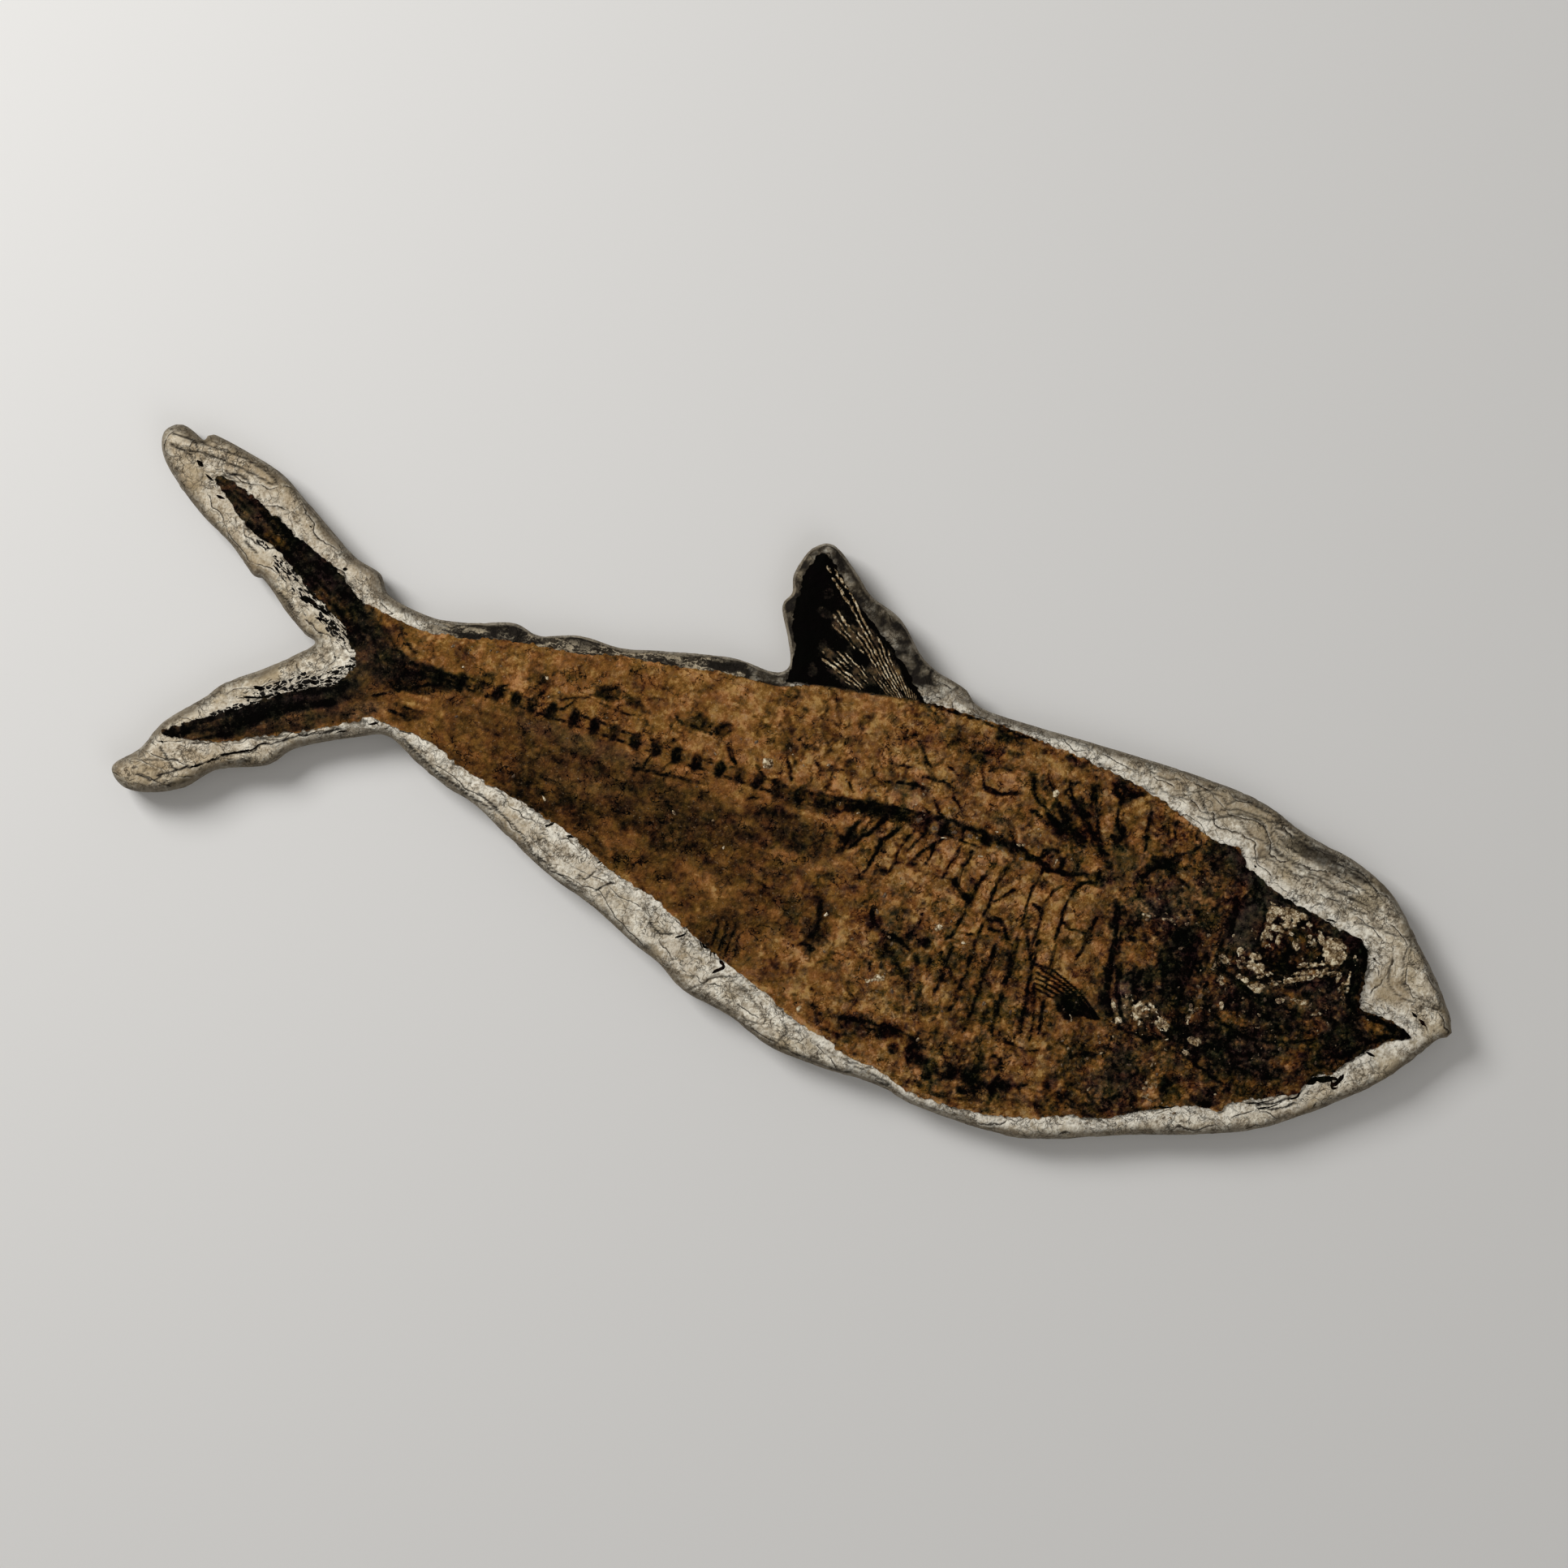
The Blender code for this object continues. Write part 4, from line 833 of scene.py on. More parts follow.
# Where pale calcite or bare stone shows through, the last number being how much of it
PALE_SPOTS = (
    (157.6, 16, 6.2, 1.7, 3, 0.75), (153.6, 13.2, 1.8, 2.2, 0, 0.7), (159.5, 13, 2.2, 2.2, 0, 0.62),
    (155.6, 10.3, 3, 1.1, 0, 0.75), (153.3, 6.8, 1.1, 3, 0, 0.7), (157.6, 7.6, 0.9, 2.2, 0, 0.5),
    (175.2, 9.4, 3.6, 4.3, 8, 0.85), (169.6, 12, 2.8, 1, -50, 0.7), (165.6, 14.6, 1.6, 0.9, -20, 0.5),
    (163.2, 7.8, 1.3, 1.8, 0, 0.6), (167, 9.5, 2.5, 2, 0, 0.28), (170.8, 1.2, 7.5, 1.5, 26, 0.45),
    (169, 3.2, 4, 0.8, 23, 0.8), (152.6, 0.4, 1.8, 1.3, 0, 0.7), (147.6, 0.2, 1, 1.3, 0, 0.8),
    (153.4, -2.8, 3.4, 1.9, -10, 0.7), (157.9, -3.8, 1.2, 1.1, 0, 0.7), (149.4, -2.9, 1.6, 2.2, 0, 0.5),
    (143, -3.3, 2.6, 1.4, -15, 0.72), (141.5, -6, 1, 2.6, 0, 0.5), (151, -7.4, 2.1, 1, -20, 0.7),
    (156, -8.7, 2.9, 1.3, 15, 0.75), (160.5, -6.3, 2.2, 0.7, 25, 0.5), (144.7, -10.2, 1.5, 1.5, 0, 0.52),
    (164.3, -10.2, 1.6, 0.9, 15, 0.42), (169.5, -8.4, 3.4, 1, 15, 0.42), (176, -10.6, 2.4, 0.7, 15, 0.4),
    (178.8, 2.2, 0.8, 1.7, 0, 0.7), (182.2, -0.4, 1, 3.4, 8, 0.4), (132, -28.8, 2.6, 1.8, -15, 0.72),
    (128.6, -25.8, 3, 1, -35, 0.7), (123.8, -28.5, 1.3, 3, 35, 0.75), (124.2, -25.4, 1.6, 1.8, 0, 0.62),
    (119.2, -32, 1.4, 1.2, 0, 0.75), (120.5, -24.2, 1.8, 0.8, -40, 0.5), (143, -30.4, 2.4, 1.1, -10, 0.7),
    (141.8, -34.5, 1.5, 1.1, 0, 0.7), (117, 1, 1.6, 1.1, 0, 0.5), (124, 2, 1.4, 1, 0, 0.5),
    (135, -49, 2.2, 4.4, 5, 0.3), (147.6, -17.2, 0.8, 1.9, 10, 0.6), (139, -23.6, 0.8, 2.4, 0, 0.45),
    (115.6, -28, 0.6, 2.4, 25, 0.5), (-8.5, 7.5, 1.8, 1.6, 0, 0.95), (45.5, -43.5, 1.7, 0.9, 20, 0.95),
    (43, -45.5, 1.4, 0.7, 20, 0.95), (57.5, -23, 0.9, 1.2, 0, 0.9), (25, -61, 0.6, 1.4, 0, 0.6),
    (78.4, 27.6, 1, 1.3, 0, 0.8),
)
# Lines are given as half widths at the ends, then the places, x and y in turn
PALE_LINES = (
    (0.9, 0.7, (163.4, -3.8, 168, -1.4, 173, 1.3, 178, 3.8)), (0.5, 0.4, (165.5, -0.6, 170, 1.6, 174, 3.6)),
    (0.7, 0.5, (165.8, 1.5, 169, 3, 173, 4.8)), (0.5, 0.4, (179.5, -2, 181.5, 2, 182, 5)),
)
# The fin's brightest rays
FIN_RAYS = (
    (1.3, 1.1, (-9.5, 70.6, -5, 66.6, 0, 62.6, 5.5, 58)),
    (0.9, 1, (5, 58.2, 9, 53, 15, 49, 21.5, 44.6, 27, 41.4)),
    (1, 1.2, (8, 50.5, 14, 47.6, 19, 43.6, 23, 40)), (0.8, 0.8, (-3, 43.5, 4, 42.3, 10, 39)),
)
# Stains that are not bones
SMEARS = (
    (1.6, 2, (14, 2.2, 22.5, 3.6, 28, 4.6, 34, 5.6, 42, 6.2, 49.5, 6.6)),
    (1.2, 0.9, (76, 6.4, 79.5, 6.8, 83, 5.4, 88, 5.4, 93, 6.6, 101, 7.2)),
    (0.8, 0.6, (49, 4, 53, 4.5, 58, 4.2, 62, 5)), (0.7, 0.6, (50, 9, 49.8, 6.5, 50.4, 4.4)),
    (0.6, 0.5, (55.3, 9, 55, 6.5, 55.6, 4.6)), (0.7, 0.6, (79.5, 6, 81, 8.5, 82.3, 10)),
    (0.7, 0.6, (87.2, 9.6, 87.4, 7, 87, 5.4)), (0.9, 0.7, (64, 6.8, 67, 7.2, 71, 7)),
    (0.8, 0.6, (70.5, 6.6, 72.5, 5.4, 73, 4.6)), (0.9, 0.7, (91.5, 8.8, 92.5, 6.5, 95, 6.5)),
    (0.7, 0.6, (99, 5, 99.3, 8, 98.6, 10)), (0.9, 0.8, (69.8, -26, 70, -34, 69.4, -46)),
    (0.7, 0.8, (75.6, -23, 75.4, -34, 75, -51)), (0.9, 1, (82, -19, 82.4, -30, 83.2, -48)),
    (0.8, 0.7, (88, -17, 89, -27, 90.5, -38, 91.5, -45)), (0.7, 0.7, (94.5, -28, 96, -37, 97, -44)),
    (0.6, 0.6, (63, -27, 63.5, -36, 62.5, -44)),
    (0.7, 0.7, (22, 6, 26, 6.9, 30, 6.8, 34, 7.6, 39, 8.4, 44, 8.7, 50, 9.2, 55, 8.7)),
    (0.9, 0.7, (56, 8.7, 60, 9, 66, 8.5, 72, 8.2, 76, 7.2)),
    (0.7, 0.6, (22, 2, 25, 3, 30, 3.4, 36, 4.6, 39, 4)), (0.8, 0.5, (41.5, 3.5, 45, 3.2, 50, 4.4)),
    (0.6, 0.4, (25, 7, 23, 9.5)), (0.6, 0.4, (36, 8, 34, 10.5)), (0.6, 0.4, (47, 9.5, 43.5, 13)),
    (0.5, 0.4, (52, 9.5, 49.5, 12)), (0.5, 0.4, (71, 9, 69, 12)), (0.5, 0.4, (31, 7, 29, 10)),
    (1.4, 1, (61.5, 9, 63.2, 7.6, 64, 6)), (0.6, 0.4, (80, 7, 81, 10.5, 85, 10.6, 87.5, 8)),
    (0.5, 0.4, (81.5, 5.5, 84, 4.2, 87, 5.5)), (0.5, 0.4, (42, 8, 44, 4, 48, 4.2, 49, 8.2)),
    (1.3, 0.7, (71, -15.5, 75, -15, 79, -19.5)), (0.7, 0.5, (72, -18, 76, -18.5)),
    (1, 0.7, (36.5, -24, 38, -28, 42, -30, 47, -30.5, 51, -32.5)),
    (0.8, 0.6, (46, -35, 50, -38.5, 55, -45)), (0.7, 0.5, (51.5, -21, 51, -26, 49, -29)),
    (1, 0.8, (20.5, -27, 22, -33, 21, -39)), (1.6, 1.1, (20, -41.8, 23, -42.3)),
    (0.9, 0.5, (41, -40, 42, -42.5)), (0.9, 0.6, (53, -41, 55.5, -45)),
    (0.8, 0.5, (61, -25.5, 64, -22.5, 69, -21.8)), (0.8, 0.7, (61, -30, 64, -34, 68, -37.5)),
    (0.5, 0.4, (38, -58.2, 46, -57.6, 54, -57, 60, -57.8, 66, -59.5)),
    (0.5, 0.4, (33, -63.5, 37, -64.5, 43, -64)), (0.6, 0.5, (89, -63, 94, -61.8, 99, -60)),
    (0.8, 0.6, (68.5, -66, 71, -69)), (0.8, 0.6, (86.5, -54.5, 89, -56, 88.5, -59)),
    (0.5, 0.4, (-7, -43, -6.5, -51)), (0.5, 0.4, (-4.5, -43, -4, -52)), (0.5, 0.4, (-2, -42, -1.5, -53)),
    (0.4, 0.3, (0.5, -44, 1, -52)), (0.6, 0.4, (-5, -23.5, -3, -24)), (0.5, 0.4, (0, -28, 5, -28.8)),
    (0.8, 0.5, (-67, 9.5, -63, 11.5, -59.5, 15)), (0.6, 0.4, (-64, 12.5, -61, 10)),
    (0.6, 0.5, (-56, 13, -52, 12.2, -49.5, 10.5)), (0.4, 0.3, (-75, 5.5, -66, 8.5, -58, 7.5, -50, 9)),
    (0.7, 0.6, (-40, 12, -36, 10.5, -31, 10.8, -28, 10.2)), (0.8, 0.6, (-33, 15, -31, 11.5)),
    (1, 0.6, (-26, 11, -25, 14, -22.5, 15)), (0.5, 0.4, (-82.5, 10, -80.5, 7, -82, 4)),
    (0.9, 0.8, (31.5, 15.3, 36, 16.4, 40, 15.3)), (0.8, 0.6, (38.5, 19.2, 44.5, 19.6, 48, 18.6)),
    (0.5, 0.4, (27, 20, 34, 20.5)), (0.6, 0.5, (37, 23.6, 39.5, 23)), (0.4, 0.3, (44, 25, 48.5, 23.2)),
    (0.6, 0.5, (54.5, 27.5, 55.5, 24.5, 57, 22.8)), (1.1, 0.8, (57, 22.4, 62, 22, 67, 23.6)),
    (0.7, 0.5, (56, 40, 60, 39)), (0.6, 0.5, (50, 31, 55, 32.8)), (0.8, 0.5, (79, 39.8, 82, 38.6)),
    (1.4, 0.9, (96, 37, 100, 34.5, 104, 36)), (0.7, 0.5, (30, 41, 42, 41.2, 56, 41.3, 70, 41)),
    (0.6, 0.4, (92, -9.2, 97, -10.4, 102.5, -10)), (1.3, 1, (99, -32, 102, -35.5, 105, -36.5)),
    (0.8, 0.6, (84.5, -17, 88, -24, 94, -23.5)), (0.5, 0.4, (88, -49, 93, -50, 99, -49)),
    (0.8, 0.7, (117, 18.5, 120, 21.5, 125.5, 26.2)), (0.8, 0.6, (118, 18, 122, 15.5, 126, 13.8)),
    (1, 0.7, (119, 19, 115, 16.5, 112, 12)), (0.7, 0.5, (112, 12, 112.5, 7, 110, 4)),
    (1, 0.8, (143, 4, 142.5, 12, 144.5, 18)), (0.9, 0.7, (161, 11, 165, 14, 171, 12.5)),
    (0.7, 0.5, (150.5, 16, 151.5, 11, 152, 5)), (1, 0.7, (170.5, 11, 172, 7.5, 170, 5)),
    (0.8, 0.6, (178.5, 13, 180.5, 9, 180, 4.5)), (0.8, 0.6, (180, 4, 176, 1, 170, -2.5, 164, -6)),
    (1.1, 0.8, (133, -30, 137, -32, 142, -31.5)), (0.9, 0.7, (146, -8, 152, -10, 161, -11.5)),
    (0.9, 0.6, (142, -35, 148, -38, 156, -40)), (0.7, 0.5, (133, -56.5, 139, -54, 148, -51)),
    (1, 0.7, (142, -1, 144, -6, 149, -9)), (0.6, 0.5, (151, 2, 156, -1, 159, -4)),
    (1, 0.8, (188, -6, 194, -5.8, 203, -6.4)), (0.8, 0.6, (189, -11, 195, -11, 202, -9)),
    (0.9, 0.6, (120, -34, 126, -34.5, 132, -33.5)), (0.7, 0.5, (-108, 1.5, -118, 1, -126, 3, -134, 8)),
    (0.7, 0.6, (-105, -1.5, -114, -3, -122, -7.5, -130, -12)), (0.6, 0.5, (-124, -15, -117, -15.5)),
    (0.6, 0.5, (-120, -12, -115, -12.5)), (0.7, 0.5, (-130, 10, -122, 4)),
    (0.6, 0.4, (-128, 0, -120, -1.5, -110, -0.5, -103, 0)), (1.2, 1.1, (79, 20.5, 84, 16.5)),
    (1.1, 1, (83.5, 22, 87, 17.5)), (1.1, 1.2, (90, 21.5, 94, 19, 97.5, 15.5)),
    (1.2, 0.9, (99, 20.5, 103, 18.3)), (1, 0.9, (88.5, 18, 91.5, 17)), (1, 0.8, (96.3, 33.4, 98, 31)),
    (0.7, 0.6, (72.5, 20.3, 77, 19.2)), (1.3, 1.2, (85.5, 25.8, 87.8, 25)),
    (1, 0.9, (101.5, 24, 101.6, 20.5)), (0.9, 0.8, (89.5, 33, 89.6, 28)),
    (0.8, 0.7, (92.5, 29.5, 92.6, 25.5)), (0.5, 0.4, (45.5, 10.8, 50, 8.5)),
    (0.5, 0.4, (41, 10.5, 43.5, 9)), (0.7, 0.4, (51, 31.5, 55, 29.5)),
    (0.5, 0.4, (84, 33, 81, 29, 83.5, 27.5)),
)
# Round joints of the backbone and clear or dark blots, over the bones; the last number is darkness
BEADS = (
    (16.8, 2.9, 1.4, 1.5, 20, 0.46), (22.6, 2.2, 0.9, 1.1, 0, 0.5), (27.6, 2.6, 1.2, 0.9, 0, 0.52),
    (33, 4.2, 1.6, 0.9, 10, 0.6), (37, 3.2, 1.8, 0.9, 20, 0.42), (41, 6.2, 1.3, 1.4, 0, 0.55),
    (46.5, 5.8, 1.6, 1.5, 0, 0.34), (53, 6.4, 1.8, 1.2, 0, 0.58), (58.4, 6.5, 1.9, 1.3, -10, 0.42),
    (68.4, 5.6, 1.3, 0.9, 0, 0.42), (74.5, 5.3, 1.1, 0.8, 0, 0.46), (77.4, 6.5, 1.7, 1.2, 0, 0.95),
    (85, 7.2, 1.4, 1.9, 0, 0.3), (89.8, 7.4, 1, 1.4, 0, 0.5), (97.3, 7, 1.1, 1.1, 0, 0.5),
    (63, 7.6, 1.9, 2.2, -25, 1.05), (63, -63, 2.4, 2.4, 0, 1.04), (51.5, -58.8, 3.2, 1, 5, 0.9),
    (44.5, -60.3, 3.4, 1.5, 0, 0.66), (56.5, -63, 1.7, 1.3, 0, 0.9), (76, -63.4, 2.4, 1.7, 0, 0.94),
    (80.6, -63.6, 1.3, 2.3, 0, 1), (85.2, -63.6, 1.7, 1.5, 0, 0.92), (92.5, -62.8, 2.4, 1.7, 10, 0.96),
    (69, -67, 1.2, 1.7, 20, 0.9), (81, -68, 2.2, 1.3, 0, 0.84), (34.5, -64, 1.5, 1, 0, 0.9),
    (104, -64.5, 2.2, 1.4, 0, 0.72), (97, -66, 1.8, 1.1, 0, 0.72), (97.3, -57, 3.2, 2.6, 0, 0.22),
    (87.2, -60.6, 2, 1.2, 0, 0.28), (71.5, -61.6, 1.6, 1.4, 0, 0.26), (65.5, -67.5, 1.4, 1.6, 0, 0.24),
    (53.5, -61.6, 2.2, 1, 0, 0.34),
)
# The dorsal fin's lighter places and its black ones, laid over the black of the whole fin
FIN_WASHES = (
    (12, 49, 16, 5, -38, 0.62, 0.6), (4, 43.5, 10, 5, -25, 0.7, 0.6), (0, 56, 5, 4.5, -50, 0.6, 0.5),
    (20, 43.5, 6.5, 3.2, -42, 0.35, 0.6), (-8.2, 63, 1.7, 1.9, 0, 0.92, 0.6),
    (-7, 57, 2.9, 1.5, -10, 0.88, 0.4), (8, 47.4, 4.2, 1.8, -15, 1.1, 0.6),
    (26.5, 45, 4, 1.2, -55, 1.1, 0.6), (11, 57.2, 4, 1.1, -35, 1.1, 0.6), (-1, 60, 6, 1.6, -40, 1, 0.6),
    (-13, 37, 2, 1.6, 30, 0.8, 0.7), (24.5, 45.4, 5, 0.9, -42, 1.1, 0.6),
    (27.8, 41.8, 3.5, 0.9, -45, 1.1, 0.6), (23.5, 42, 4, 0.5, -42, 1.1, 0.6),
    (19, 42.2, 4, 0.5, -35, 1.1, 0.6), (-5, 39, 1.5, 2.5, 20, 0.92, 0.7), (-1, 49.5, 4, 2, -20, 1.1, 0.6),
)
GILL_COVER = (
    (114, 2), (123, 6), (132, 3), (134, -8), (132.5, -20), (127, -30), (120, -26), (115.5, -12),
)
# Middle of the eye, and half length and half width of its socket and of the lump in it
EYE = (164, 5.5)
SOCKET = (11.5, 7.6)
EYEBALL = (6.5, 5.2)
# The bones, each with half widths at its ends, then its places, x and y in turn; the backbone
# has one line of places, and its joints are given along the fish
BACKBONE = (
    (-126, -1), (-112, -0.2), (-100, 0.6), (-80, 0.9), (-65, 1.1), (-50, 0.9), (-30, 0.8), (-15, 1.2),
    (-3, 1.1), (4, 1.5), (10, 2), (17, 3), (25, 4), (30, 4.6), (40, 6), (50, 7.4), (60, 7.8), (70, 7.4),
    (78, 6.8), (85, 7.4), (97, 7), (103, 8.5),
)
JOINTS = (
    -125, -119, -112.5, -106, -100, -94, -88, -82.5, -76.5, -69.5, -62.5, -56, -49, -42.5, -36, -29.5, -22,
    -15.5, -9.5, -3, 4, 10, 16.5, 22, 27.5, 33, 38.5, 44, 49.5, 55.5, 61.5, 67, 72.5, 78, 85, 91, 97, 102,
)
RIBS = (
    (0.8, 0.7, (25, 2, 22.5, -3, 22, -8, 21, -10)), (1, 0.5, (31, 3, 28.5, -1.5, 26, -5, 23.5, -9)),
    (1.05, 0.45, (37, 4, 34.5, -1, 32.3, -4.5, 31, -11, 30.2, -15)),
    (0.6, 0.5, (41, 2.5, 38.6, -3, 38.2, -8, 37.5, -11.5)), (0.9, 0.7, (33.5, -12.2, 36.8, -12)),
    (0.6, 0.4, (45, 3.5, 42.5, 0, 41, -4)), (0.7, 0.6, (50, 3, 46.5, -1, 44, -5, 42, -8)),
    (0.6, 0.4, (48, 1, 48, -4.5)), (0.7, 0.5, (55.8, 2, 54.5, -3, 53.5, -8)),
    (0.8, 1, (60, 2, 58.2, -5, 59, -9, 62.5, -11.5)),
    (0.9, 0.6, (67.5, 1, 65, -5, 64, -10, 63.5, -15, 62.5, -24)),
    (0.9, 0.6, (72.5, 3, 70.5, -2, 70, -9, 69.5, -25)), (0.7, 0.4, (75.5, -5, 73, -8, 70.5, -10)),
    (0.6, 0.4, (82, 4, 81, -4, 81.5, -14)), (0.5, 0.5, (81.5, -17, 81.2, -26)),
    (0.7, 0.6, (83, -7, 86, -8.5, 86.5, -15, 87, -22)), (0.7, 0.4, (90, 2, 87.5, -1, 86, -4.5)),
    (0.6, 0.4, (91, -30, 93.5, -38, 95, -47)),
    (0.8, 0.5, (98.5, 6, 94, 3, 92.5, -3, 92.5, -11, 93.5, -19, 94.5, -25)),
    (0.8, 0.5, (102, -5.5, 101.5, -12, 100.8, -19)), (0.7, 0.5, (-47, -7.2, -40, -6.3, -33, -5.6, -24, -5)),
    (0.5, 0.4, (-43, -1, -44.5, -6.5)), (0.5, 0.4, (-36, 0, -39, -6)), (0.6, 0.4, (-11, -4.8, -7, -3.5)),
)
SPINES = (
    (0.9, 0.6, (-17, 2.5, -19.5, 6, -22, 8.5)), (0.6, 0.4, (0, 5, -1.5, 8.5, -4, 11.5)),
    (0.5, 0.4, (11, 6.5, 13, 6)), (0.5, 0.4, (5, 13, 7.5, 11, 11, 12, 14, 12.8)),
    (0.5, 0.4, (1, 15.5, -1.5, 17.5)), (0.5, 0.4, (16.5, 10.5, 19, 8)),
    (0.5, 0.4, (33.5, 29.8, 36.5, 25, 38, 22.5)), (0.5, 0.4, (48.5, 16.5, 52, 13.5)),
    (0.6, 0.4, (44, 13.5, 45.5, 11, 48, 9)), (0.5, 0.4, (40.5, 10.5, 44.5, 9)), (0.4, 0.3, (12, 9, 10, 13)),
    (0.4, 0.3, (-74, 2.5, -71, 5.5)), (0.4, 0.3, (-95, 2, -92, 4.5)), (0.4, 0.3, (22, 17, 25, 14, 28, 13)),
    (0.4, 0.3, (-4, 4, -8, 3, -12, 6)),
)
NAPE_BONES = (
    (0.7, 0.8, (70, 29.5, 72.5, 25, 79, 20.5, 84, 16)), (0.7, 0.7, (74, 33, 78, 27.5, 82, 22.5, 88, 17.5)),
    (0.6, 0.6, (81, 32.5, 83.5, 28, 88, 23)), (0.7, 0.8, (90, 34, 91.5, 27, 94, 21.5, 98, 16, 101, 11.5)),
    (0.8, 0.6, (86, 25.5, 91, 22, 95.5, 17.5, 99.5, 13)), (0.6, 0.5, (97.5, 37, 98.5, 28, 100.5, 22)),
    (0.7, 0.6, (108, 31.5, 108.6, 26, 109.6, 20)), (0.6, 0.5, (116.5, 31, 117, 26.5)),
    (0.7, 0.6, (80, 18, 86, 17, 92, 15)),
)
SHOULDER_BONES = (
    (0.7, 0.6, (112.5, -2.5, 111, -7, 112.5, -13)),
    (1, 1.5, (107.4, 0.5, 109, -6, 110.5, -12, 111.2, -18, 112.4, -23, 114, -28, 115.5, -31)),
    (1, 0.8, (114.5, -18, 116, -24, 119, -30, 123.5, -33)),
    (0.9, 0.8, (120, -21, 121.5, -25, 126, -30, 133, -33)),
    (0.8, 0.7, (134.5, 0, 135, -10, 134.5, -20, 137, -29)),
)
PECTORAL_FIN = (
    (0.45, 0.3, (113, -33.5, 106, -28.5, 100, -25.8, 94, -23.8)),
    (0.45, 0.3, (112.5, -33.8, 105, -29.4, 99, -26.8, 91.5, -25)),
    (0.45, 0.3, (112, -34, 104.5, -30.3, 98, -27.8, 90.5, -26.4)),
    (0.45, 0.3, (111, -34.2, 104, -31.2, 97, -29, 91, -28)),
    (0.45, 0.3, (110, -34.3, 103, -32, 96, -30.3, 91, -29.6)),
    (0.4, 0.3, (108, -34.2, 101, -32.8, 95, -31.6, 92, -31.2)),
)
SKULL_BONES = (
    (2.2, 2.6, (133, 29.3, 137, 27, 141, 24.4)),
    (2.4, 1.3, (140, 25, 148, 21.2, 156, 18.9, 163, 17.6, 170, 16.2, 176, 15.4)),
    (1.3, 2.6, (174, 15.7, 180, 14.6, 183.5, 11.6)), (1.3, 1, (184.5, 9, 182.8, 5, 182.6, 0, 184.5, -4)),
    (0.9, 0.7, (152, 4, 153, 9.5, 157, 13.5, 163, 15.2, 170, 14.2, 176, 12.5, 179, 8.5, 176.5, 3.2,
        170, -0.6, 163, -4, 155, -2.6, 152, 1)),
    (0.9, 0.7, (141.5, 2, 141, -6, 141.5, -15, 144, -25)),
    (0.8, 0.6, (150, -12, 158, -12.5, 168, -12, 180, -10.5)),
    (0.8, 0.6, (146, -21, 156, -24, 166, -23, 178, -18)),
    (0.8, 0.6, (142, -31.5, 152, -34, 163, -34.5, 172, -33)),
)
JAW_BONES = (
    (1.3, 0.9, (186.5, -5.6, 194, -6.2, 201, -6.6, 205, -7.7)),
    (1, 0.8, (187, -20, 192, -16, 197, -11.5, 203.5, -8.8)), (0.8, 0.6, (184, -9, 186.5, -14, 186, -20)),
)
FILM_EDGE = 0.25
FILM_FULL = 0.75
FILM_EDGE_REACH = 3.5
FILM_BOTTOM = 11.5
FILM_SIDE_DARK = 0.6
BARE_FILM = 0.24
BONE_DARK = 0.55
# Joints from the tail on that are still seen as black dots, and the dorsal fin's front root
DOTTED_JOINTS = 24
FIN_ROOT = (36, 28.5)
# Where the body's sheet ends and the head's begins: they lap between the two
BODY_END, HEAD_START = 110, 106
BODY_CELL, HEAD_CELL, FIN_CELL = 0.48, 0.34, 0.36
back_line, belly_line = smooth_line(BACK_EDGE, 0.5), smooth_line(BELLY_EDGE, 0.5)
spine_line = smooth_line(BACKBONE, 0.5)
gill_cover = distance_to(smooth_line(GILL_COVER, 0.4, closed=True))
INKED = RIBS + SPINES + NAPE_BONES + SHOULDER_BONES + SKULL_BONES + JAW_BONES + SMEARS


def wash(x, y, place):
    """How strongly a soft ellipse covers each place."""
    middle_x, middle_y, long, wide, tilt = place
    tilt = math.radians(tilt)
    along = (x - middle_x) * math.cos(tilt) + (y - middle_y) * math.sin(tilt)
    across = (y - middle_y) * math.cos(tilt) - (x - middle_x) * math.sin(tilt)
    return fade(np.hypot(along / long, across / wide), 1.3, 0.7)


